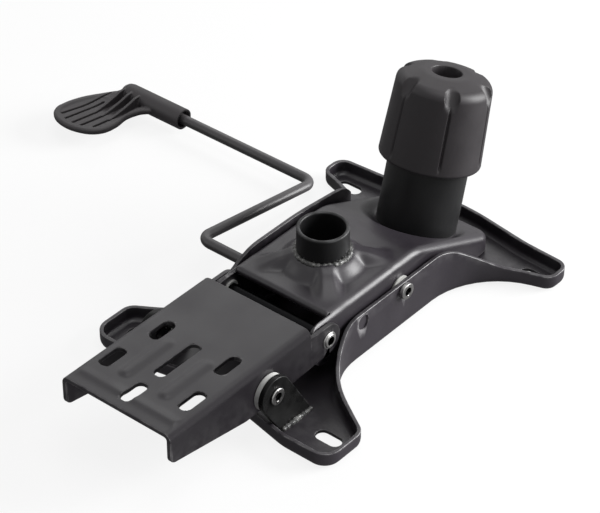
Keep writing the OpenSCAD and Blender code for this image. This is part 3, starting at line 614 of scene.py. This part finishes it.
# %% Shared places
SEAT_PIVOT, BACK_PIVOT, LINK_PIVOT = (9.5, 30.0), (-62.5, 34.5), (-119.5, 32.0)
LEVER_PIVOT, LEVER_RECLINED = (-30.5, 29), (-29.87, 22.87)
SIDE = 60
SOCKET_Y = -17.3
TUBE_FOOT, TUBE_AXIS = Vector((0, 77, 23.2)), Vector((0, 0.25375794, 0.96726775))
ON_TUBE = Matrix.Translation(TUBE_FOOT) @ Matrix.Rotation(radians(-14.7), 4, "X")
print("pivots:", SEAT_PIVOT, BACK_PIVOT, LINK_PIVOT, LEVER_PIVOT)

# %% [markdown]
# ## Seat plate
# The plate is pressed from one sheet: a flat floor, a soft bend all round, and flanges that are low at the
# four ears and high at the waist, the left one higher still round its lock window. A circle with one point
# for each point of the outline is grown round the bend and up the flange, the floor is filled, and Solidify
# gives the sheet its thickness. The slots are cut before the edges are broken, so that their rims catch the
# light, and the window, the pivot holes and a shallow press mark after that.

# %% Seat plate outline
def slot_outline(x, y, length, width, along_y=False):
    reach, points, steps = (length - width) / 2, [], 12
    for side in (1, -1):
        for i in range(steps + 1):
            a = pi * (i / steps - 0.5) + (0 if side > 0 else pi)
            p, q = side * reach + width / 2 * cos(a), width / 2 * sin(a)
            points.append((x - q, y + p) if along_y else (x + p, y + q))
    return points


SEAT_SHEET, SEAT_BEND, BEND_STEPS = 2.5, 6.0, 6
SEAT_SLOT, SLOT_X, SLOT_Y = (18, 9), 75, 102.5
EAR, WAIST, FAR = 93.5, 42.8, 300
EAR_H, WAIST_H, LOCK_H = 12, 35.5, 49.5
right_side = [
    (26, -120), (58, -126.5), (EAR, -126.5), (EAR, -93.5), (WAIST, -62), (WAIST, 80), (EAR, 96.5), (EAR, 116),
    (58, 118), (0, 127)]
right_radii = [40, 40, 12, 10, 45, 54, 9, 9, 120, 160]
outline = rounded(
    right_side + [(-x, y) for x, y in right_side[-2::-1]], right_radii + right_radii[-2::-1], 10, gap=4)
rear_rise, front_fall = [(-FAR, EAR_H), (-75.5, EAR_H)], [(86, EAR_H), (FAR, EAR_H)]
right_flange = rounded(
    rear_rise + [(-42, WAIST_H), (54, WAIST_H)] + front_fall, [0, 20, 25, 35, 20, 0], 12, False)
left_flange = rounded(
    rear_rise + [(-42, LOCK_H), (9.5, LOCK_H), (54, 45)] + front_fall, [0, 20, 25, 200, 35, 20, 0], 12, False)
print("seat plate outline points:", len(outline))


# %% Seat plate sheet
def flange_top(p):
    return table(right_flange if p.x > 0 else left_flange, p.y)


normals = side_normals(outline)
rings = []
for out, rise in fold(SEAT_BEND, BEND_STEPS):
    rings.append([p - n * (SEAT_BEND - out) + Vector((0, 0, rise)) for p, n in zip(outline, normals)])
for share in (0.35, 0.7, 1):
    rings.append([Vector((p.x, p.y, SEAT_BEND + (flange_top(p) - SEAT_BEND) * share)) for p in outline])
seat = swept("seat_plate_sheet", rings, caps=1)
modify(seat, "SOLIDIFY", thickness=SEAT_SHEET * MM, offset=-1, use_even_offset=True,
       use_quality_normals=True)
for x in (-SLOT_X, SLOT_X):
    for y in (-SLOT_Y, SLOT_Y):
        carve(seat, prism(slot_outline(x, y, *SEAT_SLOT), "z", -5, 5))
round_edges(seat, 0.5)
mark_in, mark_out = Vector((42.2, -30.5, 29)), Vector((45.2, -30.1, 29))
carve(seat, tube_along("tool", [mark_in, mark_out], 5, 40))
carve(seat, bar_tool(4.3, -SIDE, SIDE, SEAT_PIVOT))
for at in (LEVER_PIVOT, LEVER_RECLINED):
    carve(seat, bar_tool(6.06, -SIDE, -36, at))
settle(seat, "seat_plate", COAT, ["seat_plate"])

# %% [markdown]
# ## Turned and stamped small parts
# Screws, nuts, washers, bushes and lugs are plain shapes whose solids are already right, but a machine never
# leaves a perfectly sharp edge. A copy of each solid is merged, and a small bevel breaks its edges.

# %% Small parts with broken edges
SMALL_PARTS = {
    "seat_plate": [("seat_lug_left", SHADED_LUG, 0.6), ("seat_lug_right", SHADED_LUG, 0.6), ("link_screws", ZINC, 0.5),
                   ("link_washers", NYLON, 0.4), ("link_nuts", ZINC, 0.4), ("spring_anchor", COAT, 0.5)],
    "housing": [("socket_support", COAT, 0.3), ("seat_pivot_screws", ZINC, 0.5),
                ("seat_pivot_nuts", ZINC, 0.4), ("back_pivot_bushes", NYLON, 0.25)],
    "back_bracket": [("back_pivot_pin", ZINC, 0.35)],
    "tension_bolt": [("tension_bolt", ZINC, 0.4), ("anchor_rocker", ZINC, 0.3)],
    "spring_seat": [("spring_seat", ZINC, 0.4)],
    "knob": [("knob_nut", ZINC, 0.4)],
    "lock_bush": [("lock_bush", NYLON, 0.25), ("lever_pin", OILED, 0.2)]}
KEY_R, PIN_INSIDE = 3.0, 42.1


def paint_shade_and_dark(piece, centre, within=0.0):
    """Paints shade round a cross axis, where a screw has its key, and darkens all that lies nearer to the
    middle than within
    """
    layer = piece.data.attributes.get("painted_shade_and_dark") or piece.data.attributes.new("painted_shade_and_dark", "FLOAT", "POINT")
    for vert, value in zip(piece.data.vertices, layer.data):
        x, y, z = vert.co / MM
        if hypot(y - centre[0], z - centre[1]) < KEY_R or abs(x) < within:
            value.value = 1


for body, name, look, width in ((body, *row) for body, rows in SMALL_PARTS.items() for row in rows):
    part = softened(name, width)
    # The screw keys get painted shade, and the back pivot pin is darkened in its middle
    if name.endswith("screws"):
        paint_shade_and_dark(part, LINK_PIVOT if "link" in name else SEAT_PIVOT)
    if name == "back_pivot_pin":
        paint_shade_and_dark(part, BACK_PIVOT, PIN_INSIDE)
    settle(part, body, look, [name])

# %% [markdown]
# The seat pivot's washers are thin rings with a rounded rim. One ring is turned for each side.

# %% Seat pivot washers
washer_profile = [(4.05, 38.6), (7.9, 38.6), (8.2, 38.9), (8.2, 39.7), (7.9, 40), (4.05, 40)]
washers = []
for side in (1, -1):
    place = Matrix.Translation((0, *SEAT_PIVOT)) @ Matrix.Rotation(radians(90 * side), 4, "Y")
    washers.append(turned("washer", washer_profile, place, 64))
washers[0].name = washers[0].data.name = "seat_pivot_washers_turned"
settle(joined(*washers), "housing", ("pale_nylon", grey_nylon), ["seat_pivot_washers"])

# %% [markdown]
# ## Housing
# The housing is a deep pressing: a flat deck with a swollen boss round the gas lift socket and four diagonal
# ridges, a sloping front with a seat for the spring tube, and side walls that fold down all round. Soft
# press forms like these have no hand tool, so a fine grid is laid on the deck and each of its points is
# raised by a height rule. The rim is then extruded round the fold and down the walls, as by hand.

# %% Height of the deck
DECK, BEND_Y, BEND_SOFT, SLOPE = 48.0, 28.0, 7, tan(radians(23))
BOSS_RISE, BOSS_R, BOSS_FOOT = 7.6, 18, 28.5
RIDGE_RISE, RIDGE_START, RIDGE_END, RIDGE_HALF, RIDGE_FOOT = 6.8, 22, 45, 3, 10.5
POCKET_R, POCKET_RIM, POCKET_REAR = 27, 33.5, 12


def deck_height(x, y):
    z = DECK - soft_ramp(y - BEND_Y, BEND_SOFT) * SLOPE
    across, ahead = abs(x), abs(y - SOCKET_Y)
    boss = BOSS_RISE * (1 - step_up(BOSS_R, BOSS_FOOT, hypot(across, ahead)))
    out, off = (across + ahead) * sqrt(0.5), abs(across - ahead) * sqrt(0.5)
    ridge = (1 - step_up(RIDGE_START, RIDGE_END, out)) * (1 - step_up(RIDGE_HALF, RIDGE_FOOT, off))
    z += (boss ** 3 + (RIDGE_RISE * ridge) ** 3) ** (1 / 3)
    seat_z = TUBE_FOOT.z - (y - TUBE_FOOT.y) * TUBE_AXIS.y / TUBE_AXIS.z
    from_foot = Vector((x, y, z)) - TUBE_FOOT
    reach = (from_foot - TUBE_AXIS * from_foot.dot(TUBE_AXIS)).length
    rearward = max(0.0, TUBE_FOOT.y - y) / max(reach, 1)
    rim = POCKET_RIM + POCKET_REAR * rearward ** 2
    return z if seat_z > z else seat_z + (z - seat_z) * step_up(POCKET_R, rim, reach)


print("deck height beside the socket:", round(deck_height(BOSS_R, SOCKET_Y), 2), "mm")

# %% Deck grid with rounded front corners
CORNER, HALF, FRONT, REAR = 5.0, 33.5, 103.0, -54.5
columns = (spread(-HALF, -HALF + CORNER, 4)[:-1] + spread(-HALF + CORNER, HALF - CORNER, 46)
           + spread(HALF - CORNER, HALF, 4)[1:])
rows = spread(REAR, FRONT - CORNER, 122) + spread(FRONT - CORNER, FRONT, 4)[1:]


def deck_point(x, y):
    a, b = (abs(x) - HALF + CORNER) / CORNER, (y - FRONT + CORNER) / CORNER
    if a > 0 and b > 0:
        x = copysign(HALF - CORNER + CORNER * a * sqrt(1 - b * b / 2), x)
        y = FRONT - CORNER + CORNER * b * sqrt(1 - a * a / 2)
    return Vector((x, y, deck_height(x, y)))


def rim_of(lines):
    """Along the right edge, across the front and back along the left edge"""
    return [line[-1] for line in lines] + lines[-1][-2::-1] + [line[0] for line in lines[-2::-1]]


deck = [[deck_point(x, y) for x in columns] for y in rows]
housing, grid = laid_grid("housing_sheet", deck)
rim, rim_path = rim_of(grid), rim_of(deck)
rim_normals = side_normals(rim_path, closed=False)
print("deck rows:", len(deck), "rim points:", len(rim))

# %% [markdown]
# The rim is grown round a quarter circle and down to the lower edge. Behind the deck each wall runs on to
# the back pivot and ends in rounded corners, and the deck's rear edge rolls under as a lip.

# %% Fold the rim down into walls, and carry the walls on behind the deck
FOLD, FOLD_STEPS, HOUSE_SHEET, LIP = 5.0, 7, 2.5, 3
WALL_REAR, WALL_CORNER, WALL_START = -75.0, 8, 3
low_edge = [(WALL_REAR, 16.3), (9.5, 3.2), (108, 4.5)]
strips, paths = [rim], [rim_path]
for out, down in fold(FOLD, FOLD_STEPS)[1:]:
    paths.append([p + n * out - Vector((0, 0, down)) for p, n in zip(rim_path, rim_normals)])
for share in (0.25, 0.5, 0.75, 1):
    paths.append([Vector((p.x, p.y, p.z + (table(low_edge, p.y) - p.z) * share)) for p in paths[FOLD_STEPS]])


def wall_end(points, share):
    """The end of a wall, moved rearwards by a share of its run"""
    top, bottom = points[0].z, points[-1].z
    moved = []
    for p in points:
        down = (top - p.z) / (top - bottom)
        in_corner = max(0, WALL_CORNER - min(down, 1 - down) * (top - bottom))
        short = WALL_CORNER - sqrt(max(0, WALL_CORNER ** 2 - in_corner ** 2))
        y = REAR + (WALL_REAR + short - REAR) * share
        moved.append(Vector((p.x, y, top + down * (table(low_edge, y) - top))))
    return moved


with editing(housing):
    pick(housing, rim)
    for path in paths[1:]:
        strips.append(grow(housing, strips[-1], path))
    for end in (0, -1):
        ends = [strip[end] for strip in strips[WALL_START:]]
        points = [path[end] for path in paths[WALL_START:]]
        pick(housing, ends)
        for share in (0.25, 0.5, 0.75, 0.9, 1):
            ends = grow(housing, ends, wall_end(points, share))
    lip = [strips[2][-1], strips[1][-1]] + grid[0] + [strips[1][0], strips[2][0]]
    lip_path = [paths[2][-1], paths[1][-1]] + deck[0] + [paths[1][0], paths[2][0]]
    pick(housing, lip)
    for degrees in range(20, 181, 20):
        a = radians(degrees)
        out, down = LIP * sin(a), LIP * (1 - cos(a))
        lip = grow(housing, lip, [(p.x, REAR - out, p.z - down) for p in lip_path])
print("housing walls folded, points:", len(housing.data.vertices))


# %% Thickness and holes of the housing
def face_up(piece):
    """Points all faces of a sheet the same way, the first of them up"""
    outward(piece)
    if piece.data.polygons[0].normal.z < 0:
        piece.data.flip_normals()


face_up(housing)
modify(housing, "SOLIDIFY", thickness=HOUSE_SHEET * MM, offset=-1, use_even_offset=False)
round_edges(housing, 0.45, angle=55)
carve(housing, tube_along("tool", [Vector((0, SOCKET_Y, z)) for z in (30, 80)], 16.2, 64))
carve(housing, bar_tool(6.05, -SIDE, SIDE, BACK_PIVOT))
carve(housing, bar_tool(4.05, -SIDE, SIDE, SEAT_PIVOT))
carve(housing, bar_tool(5.85, -SIDE, -30, LEVER_PIVOT))
settle(housing, "housing", COAT, ["housing"])

# %% [markdown]
# ## Back bracket
# The bracket that carries the back bar is a channel folded from one sheet, with slots for the bar's bolts,
# two long pressed beads between them and a ridge near its end. A grid takes the pressed forms, its long
# edges are extruded round the fold and down, and one cut with the side view gives the walls their outline.

# %% Back bracket sheet
BRACKET_TOP, BEAD_RISE, BRACKET_HALF, BRACKET_FOLD, BRACKET_SHEET = 53.0, 1.2, 42.0, 5.0, 3.0
BRACKET_REAR, BRACKET_FRONT, WALL_FOOT = -202.6, -50, 10
FLAT, FLAT_Z = BRACKET_HALF - BRACKET_FOLD, BRACKET_TOP - BEAD_RISE
BEAD_X, BEAD_Y, BEAD_RUN = 15.4, -159.5, 17
RIDGE_Y, RIDGE_WIDTH, END_RIDGE = -191.5, 3.2, 0.8


def bracket_height(x, y):
    run = max(0.0, abs(y - BEAD_Y) - BEAD_RUN)
    bead = 1.0 - step_up(1.2, 5.5, hypot(abs(x) - BEAD_X, run))
    ridge = END_RIDGE * exp(-((y - RIDGE_Y) / RIDGE_WIDTH) ** 2) * step_up(2, 7, BRACKET_HALF - abs(x))
    return FLAT_Z + max(bead, ridge)


columns, rows = spread(-FLAT, FLAT, 60), spread(BRACKET_REAR, BRACKET_FRONT, 122)
plate = [[(x, y, bracket_height(x, y)) for x in columns] for y in rows]
bracket, grid = laid_grid("back_bracket_sheet", plate)
with editing(bracket):
    for side in (1, -1):
        edge = [line[-1 if side > 0 else 0] for line in grid]
        pick(bracket, edge)
        for out, down in fold(BRACKET_FOLD, FOLD_STEPS)[1:]:
            edge = grow(bracket, edge, [(side * (FLAT + out), y, FLAT_Z - down) for y in rows])
        edge = grow(bracket, edge, [(side * BRACKET_HALF, y, WALL_FOOT) for y in rows])
face_up(bracket)
modify(bracket, "SOLIDIFY", thickness=BRACKET_SHEET * MM, offset=-1, use_even_offset=True)
print("bracket folded, points:", len(bracket.data.vertices))

# %% Outline and slots of the bracket
BAR_SLOTS = [
    (-30.9, -171.4, 19), (30.9, -171.4, 19), (-25.5, -134.8, 19), (25.5, -134.8, 19), (0, -186.8, 19),
    (0, -149.8, 36)]
BAR_SLOT_WIDTH, LINK_SLOT = 8, (11, 8.6)
side_view = rounded(
    [(BRACKET_REAR, 31), (-137.6, 20), (-62.5, 24), (-52, 24), (-52, 45), (-79, 45), (-79, 80),
     (BRACKET_REAR, 80)], [5, 15, 30, 10.4, 10.4, 2, 0, 0], 10)
carve(bracket, prism(side_view, "x", -SIDE, SIDE), "INTERSECT")
for x, y, length in BAR_SLOTS:
    carve(bracket, prism(slot_outline(x, y, length, BAR_SLOT_WIDTH, True), "z", 40, 70))
for x in (-50, 30):
    carve(bracket, bar_tool(4.55, x, x + 20, BACK_PIVOT))
    carve(bracket, prism(slot_outline(*LINK_PIVOT, *LINK_SLOT), "x", x, x + 20))
round_edges(bracket, 0.5, angle=50)
settle(bracket, "back_bracket", COAT, ["back_bracket"])

# %% [markdown]
# ## Spring tube and gas lift socket
# Both are cut from drawn tube. A closed profile goes once round the axis, which is what Spin or Screw does,
# and the small flats in the profile are the broken edges of the cut.

# %% Tube and socket
tube_profile = [
    (24.6, 0), (26.2, 0), (26.2, 0.5), (26.2, 32), (26.2, 62.8), (26.2, 63.4), (25.9, 63.8), (25.6, 64),
    (25.1, 64), (24.8, 63.8), (24.6, 63.4), (24.6, 62.8), (24.6, 32), (24.6, 0.5)]
socket_profile = [
    (14, 36.5), (14.5, 36), (15.9, 36), (16.4, 36.5), (16.4, 37.2), (16.4, 55), (16.4, 72), (16.4, 72.7),
    (16.1, 73.2), (15.6, 73.5), (14.9, 73.5), (14.3, 73.2), (14, 72.5), (14, 71.8), (14, 55), (14, 37.2)]
# the tube and the socket wear the darker copy of the coat, which paints their shade
tube = turned("spring_tube_drawn", tube_profile, ON_TUBE)
settle(tube, "housing", SHADED_TUBE, ["spring_tube"])
socket = turned("gas_lift_socket_drawn", socket_profile, Matrix.Translation((0, SOCKET_Y, 0)))
settle(socket, "housing", SHADED_TUBE, ["gas_lift_socket"])

# %% [markdown]
# ## Welds
# A weld bead is a row of small frozen waves. A round bar is grown along the seam, its thickness is rippled,
# and noise roughens it, with a fixed seed so that every run gives the same bead. Drops of spatter cling to
# the socket above.

# %% Weld beads
WELD_R, WELD_SIDES, RIPPLE, WELD_SEED = 1.7, 12, 1.1, 7


def weld_bead(name, path, closed, body):
    rings, count = [], len(path)
    for i, point in enumerate(path):
        before, after = neighbours(path, i, closed)
        ahead = (after - before).normalized()
        side = ahead.cross(Vector((0, 0, 1))).normalized()
        thick = WELD_R * (1 + 0.12 * sin(i * RIPPLE) + 0.3 * noise.noise(point * 0.21))
        if not closed:
            thick *= min(1, 0.35 + min(i, count - 1 - i) * 0.25)
        ring = ring_round(point, side, side.cross(ahead), thick, WELD_SIDES)
        rings.append([p + noise.noise_vector(p * 0.9) * 0.22 for p in ring])
    settle(swept(name, rings, loop=closed), body, WELD, angle=70)


def round_socket(radius, a, z):
    return polar(radius, a, z) + Vector((0, SOCKET_Y, 0))


SEAM_R, SEAM_Z, SPATTER_R = 17.1, 55.9, 16.5
noise.seed_set(WELD_SEED)
weld_bead("socket_weld", [round_socket(SEAM_R, a, SEAM_Z) for a in angles(180)], True, "housing")
SPATTER = [
    (-12, 57.6, 0.8), (-4, 58.6, 0.6), (3, 57.9, 0.9), (9, 59.4, 0.5), (16, 58, 0.7), (-20, 58.2, 0.5),
    (-70, 57.8, 0.5), (-95, 58.1, 0.45), (24, 60.2, 0.4)]
drops = []
for degrees, height, size in SPATTER:
    spot = round_socket(SPATTER_R, radians(degrees), height) * MM
    drop = primitive(
        "socket_spatter", bpy.ops.mesh.primitive_ico_sphere_add, subdivisions=3, radius=size * MM,
        location=spot)
    with editing(drop):
        select("SELECT")
        bpy.ops.transform.resize(value=(1, 1, 0.75))
    drops.append(drop)
settle(joined(*drops), "housing", WELD, angle=70)
LUG_X, LUG_REAR, LUG_RUN, LUG_PARTS, LUG_Z = 50.0, -115.5, 28, 44, 3.0
for side, name in ((1, "right"), (-1, "left")):
    seam = [Vector((side * LUG_X, y, LUG_Z)) for y in spread(LUG_REAR, LUG_REAR + LUG_RUN, LUG_PARTS)]
    weld_bead("lug_weld_" + name, seam, False, "seat_plate")

# %% [markdown]
# ## Tension knob
# The knob is a moulded cup with a domed top, a hole to the adjusting nut, and six grip grooves that each end
# in a scoop at the shoulder. Its profile is turned in steps that lie closer near the grooves, and the points
# there are then pushed in, so that every edge keeps the soft radius of a moulding.

# %% Profile and groove of the knob
KNOB_RIM, GROOVES, GROOVE_HALF, GROOVE_DEPTH = 46.1, 6, 1.35, 1.2
SCOOP_R, SCOOP_LEAN, SCOOP_AXIS, SCOOP_SOFT = 5.4, radians(32), Vector((33.9, 0, 49.5)), 0.3
wall = rounded([(9.8, 59), (15.5, 59), (30.57, 54.5), (33.06, 0)], [0, 12, 7, 0], 18, False, gap=2.2)[1:-1]
skin = [(9.8, 49.4), (9.8, 54), (9.8, 58.3), (10.1, 58.8), (10.6, 59)] + [(p.x, p.y) for p in wall]
outside = len(skin)
skin += [(33.02, 1.5), (32.85, 0.7), (32.4, 0.15), (31.8, 0), (30.9, 0), (30.3, 0.3), (30.1, 0.8)]
skin += [(27.6, 44), (26.8, 48), (24.5, 51.2), (15.5, 54.9), (13.75, 54.5), (13.75, 41.7), (13.3, 41.2),
         (9.8, 41.2), (9.4, 41.6), (9.4, 49.2)]
near = [0, 0.5, 1, 1.4, 1.8, 2.2, 2.6, 3, 3.75, 4.5, 5.25, 6, 6.75, 7.5, 8.1, 8.7, 9.3, 9.9, 10.5, 11.1,
        11.8, 12.6, 14, 16, 18.5, 21, 24, 27]
sector = [radians(d) for d in [-180 / GROOVES] + [-d for d in near[:0:-1]] + near]
lean_in = Vector((-cos(SCOOP_LEAN), 0, -sin(SCOOP_LEAN)))


def pressed_in(r, a, s):
    """A point of the knob's skin after the groove and the scoop of its sector"""
    point = polar(r, a, s)
    wave = 1 + cos(pi * min(1.0, abs(point.y) / GROOVE_HALF))
    groove = GROOVE_DEPTH / 2 * wave * step_up(5, 6, s) * (1 - step_up(51, 53, s))
    point -= polar(groove, a, 0)
    aside = abs(point.y)
    floor_depth = sqrt(max(0.0, SCOOP_R ** 2 - aside ** 2))
    floor_depth -= 6 * step_up(SCOOP_R - 0.15, SCOOP_R + 0.6, aside)
    push = soft_ramp(floor_depth - (point - SCOOP_AXIS).dot(lean_in), SCOOP_SOFT)
    return point + lean_in * push * step_up(40, 46, s)


print("knob profile points:", len(skin), "points of a sector:", len(sector))

# %% Tension knob
rings = []
for j, (r, s) in enumerate(skin):
    grooved = r > 16 and s > 2 and j < outside
    ring = []
    for i in range(GROOVES):
        turn = Matrix.Rotation(radians(15 + 360 / GROOVES * i), 3, "Z")
        for a in sector:
            point = pressed_in(r, a, s) if grooved else polar(r, a, s)
            ring.append(ON_TUBE @ (turn @ point + Vector((0, 0, KNOB_RIM))))
    rings.append(ring)
knob = swept("tension_knob_moulded", rings, loop=True)
settle(knob, "knob", ("dark_moulding", dark_moulding), ["tension_knob"])

# %% [markdown]
# ## Lever
# The lever is one round rod with two bends, and an inner finger that lifts the gas lift's button. The path
# is drawn with rounded corners in the plane of the crank and a round bar is grown along it.

# %% Lever rod
ROD_R, ROD_BEND, ROD_SIDES, ROD_INNER = 3.5, 9, 28, -4
CRANK_X, CRANK_Y, ROD_END = -89.3, 114.4, -246
CRANK = Matrix.Translation((0, *LEVER_PIVOT)) @ Matrix.Rotation(radians(-9), 4, "X")
crank = rounded(
    [(ROD_INNER, 0), (CRANK_X, 0), (CRANK_X, CRANK_Y), (ROD_END, CRANK_Y)], [0, ROD_BEND, ROD_BEND, 0],
    14, False, gap=8)
rod = tube_along("lever_rod_bent", [CRANK @ p for p in crank], ROD_R, ROD_SIDES)
finger_path = [(-3.4, 0.6), (-3.2, 1.6), (-2.6, 2.6), (0, ROD_R), (10, ROD_R), (18.4, ROD_R), (19.2, 2.8)]
points = [Vector((ROD_INNER, *LEVER_PIVOT)) + Vector((0, d, 0)) for d, r in finger_path]
carve(rod, tube_along("finger", points, [r for d, r in finger_path], ROD_SIDES), "UNION")
# the rod wears the lighter copy of the black steel coat, which paints the light on it
settle(rod, "lever", ("black_steel", lit_rod_coat), ["lever_rod"], angle=60)

# %% [markdown]
# ## Lever grip
# The grip is a soft moulding: a sleeve over the rod's end, and a paddle with a raised rim, grooves that fan
# out from the elbow, three webs that climb to the sleeve and pockets between them. The rough forms are
# united and cut, and a fine voxel remesh with some smoothing melts them into one moulding with rounded
# edges everywhere.

# %% Blade of the grip
GRIP_Y, GRIP_Z = 82.49, 11.10
DISH = 1


def flowing(points, parts=6):
    """A closed curve that runs smoothly through its points"""
    curve, count = [], len(points)
    for i in range(count):
        a, b, c, d = (Vector((*points[(i + k) % count], 0)) for k in (-1, 0, 1, 2))
        for t in (k / parts for k in range(parts)):
            curve.append(((2 * b) + (c - a) * t + (2 * a - 5 * b + 4 * c - d) * t * t
                          + (3 * b - a - 3 * c + d) * t * t * t) / 2)
    return curve


def blade_top(y):
    return 16.6 - 0.068 * (y - 21)


blade = flowing([
    (-228, 79), (-233, 69), (-235.2, 58), (-233.2, 46), (-234, 35), (-239.2, 27), (-247.5, 22.4),
    (-257.4, 20.6), (-268, 22.5), (-275.6, 27.5), (-279, 34), (-279.1, 40), (-278.4, 46.5), (-275.4, 57),
    (-269.6, 68.5), (-263, 79.5), (-254, 84)])


def blade_block(levels, end_y=99):
    """A block from outlines drawn in from the blade's edge, each at a height from the falling face"""
    edge = [(p, n) for p, n in zip(blade, side_normals(blade)) if p.y < end_y]
    return swept("tool", [[(p.x + n.x * inset, p.y + n.y * inset, blade_top(p.y) + height) for p, n in edge]
                          for inset, height in levels])


grip = blade_block([(0.8, -4.2), (0, -3.4), (0, -1.5), (0.5, -0.5), (1.5, 0)])
grip.name = grip.data.name = "lever_grip_moulded"
print("blade outline points:", len(blade))


# %% Dish, pockets and sleeve
def shape(tool, operation="DIFFERENCE"):
    carve(grip, tool, operation, "MANIFOLD")


def trench(path, half, floor):
    """Carves a channel along (y, x) points, down to floor(y)"""
    rings = []
    for y in spread(path[0][0], path[-1][0], 24):
        x, low, top, flare = table(path, y), floor(y), 30, half + 0.2
        rings.append([(x - half, y, low), (x + half, y, low), (x + flare, y, top), (x - flare, y, top)])
    shape(swept("tool", rings))


shape(blade_block([(5.5, -DISH), (3.8, 0), (3.8, 9)], 75))
for x, half in ((-252.7, 3.2), (-245.7, 3.2), (-239.7, 2.1)):
    trench([(51, x), (76.5, x)], half, lambda y: blade_top(y) - DISH - 2.3 * step_up(50, 60, y))
sleeve_path = [(-205, 7.5), (-254, 7.5), (-257, 6.9), (-259.5, 5.1), (-261, 2.7), (-261.5, 0.3)]
points = [Vector((x, GRIP_Y, GRIP_Z)) for x, r in sleeve_path]
shape(tube_along("sleeve", points, [r for x, r in sleeve_path], 40), "UNION")
print("grip after its sleeve, faces:", len(grip.data.polygons))

# %% Webs, grooves and bores
WEB_X, WEB_FOOT, WEB_TOP = (-256.2, -249.2, -242.2), 3.6, 17.4
FAR_EDGE, FILL_FOOT = [(40, -276.5), (57, -273), (68.5, -267.5), (84, -258.5)], 9
GROOVE_PATHS = [
    [(29.7, -270.6), (47.1, -267), (62.4, -265.2), (73, -263.5)], [(26.6, -264), (41.9, -262), (61, -259.5)],
    [(25.8, -256.7), (46.5, -254.4), (59, -254)], [(27, -250), (41.8, -248.3), (59, -247)],
    [(31.7, -242.4), (43.1, -241.5), (59, -240)]]


def web_top(y):
    """The webs leave the blade's face and climb to the sleeve"""
    return max(blade_top(y) - DISH, min(WEB_TOP, 14.1 + 0.1 * (y - 55) + 0.0045 * max(0, y - 55) ** 2))


rings = []
for y in range(46, 83, 2):
    face, rise, far, web = blade_top(y) - DISH - 0.3, step_up(46, 74, y), table(FAR_EDGE, y), WEB_X[0]
    rings.append([(far, y, FILL_FOOT), (web, y, FILL_FOOT), (web, y, face + (web_top(y) - face) * rise),
                  (far, y, face + (blade_top(y) - face) * rise)])
shape(swept("tool", rings), "UNION")
for path in GROOVE_PATHS:
    trench(path, 0.9, lambda y: blade_top(y) - DISH - 1.9 + 1.5 * step_up(50, 74, y))
for x in WEB_X:
    rings = []
    for y in range(47, 80, 2):
        foot, top = blade_top(y) - WEB_FOOT, web_top(y)
        rings.append([(x - 1.15, y, foot), (x + 1.15, y, foot), (x + 1, y, top), (x - 1, y, top)])
    shape(swept("tool", rings), "UNION")
shape(bar_tool(5.9, -211, -200, (GRIP_Y, GRIP_Z)))
shape(bar_tool(3.52, ROD_END, -200, (GRIP_Y, GRIP_Z)))
modify(grip, "REMESH", mode="VOXEL", voxel_size=0.4 * MM)
modify(grip, "SMOOTH", factor=0.5, iterations=3)
# the grip wears the lighter copy of the moulding, which paints in the right lamp's light
settle(grip, "lever", ("dark_moulding", lit_grip_moulding), ["lever_grip"], angle=80)

# %% [markdown]
# ## Tension spring
# The spring stands inside the tube and under the knob. Its wire follows a helix, and two joints press it:
# the bolt's stroke and the knob. A piece can shorten with one joint only, so the spring is made in two
# lengths. The lower one shortens with the bolt, and the upper one rides on the bolt and shortens with the
# spring seat.

# %% Tension spring
COILS, COIL_PARTS, COIL_R, WIRE_R, WIRE_SIDES = 8, 48, 19.5, 3.0, 14
SPRING_FOOT, SPRING_RISE = 3.3, 77.4
count = COILS * COIL_PARTS
path = []
for i in range(count + 1):
    a = 2 * pi * i / COIL_PARTS
    path.append(ON_TUBE @ polar(COIL_R, a, SPRING_FOOT + SPRING_RISE * i / count))
half = len(path) // 2
spring = tube_along("tension_spring_wound", path[:half + 1], WIRE_R, WIRE_SIDES)
settle(spring, "housing", OILED, ["tension_spring"], angle=60)
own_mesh(spring)
upper_spring = tube_along("upper_spring_wound", path[half:], WIRE_R, WIRE_SIDES)
settle(upper_spring, "tension_bolt", OILED, angle=60)
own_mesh(upper_spring)

# %% [markdown]
# ## Flags
# A photographer keeps a lamp off a part of the subject with a flag. The right lamp draws the bright edges of
# the round pieces, but seen from the far side its glare would whiten the wide level tops of the bracket and
# the paddle, so it is kept off them. A low strip lights the upright walls of bracket and plate instead, and
# the grip's colour is painted lighter to stand in for the right lamp's light.

# %% Flags
def flag(lamp, pieces, state):
    """Keep a lamp off the pieces, or let it reach them alone"""
    reach = bpy.data.collections.new(lamp.name + "_reach")
    lamp.light_linking.receiver_collection = reach
    for piece in pieces:
        reach.objects.link(piece)
    for member in reach.collection_objects:
        member.light_linking.link_state = state
    print(lamp.name, state.lower(), [piece.name for piece in pieces])


flag(lamp_right, (bracket, grip), "EXCLUDE")
flag(lamp_low, (bracket, seat), "INCLUDE")
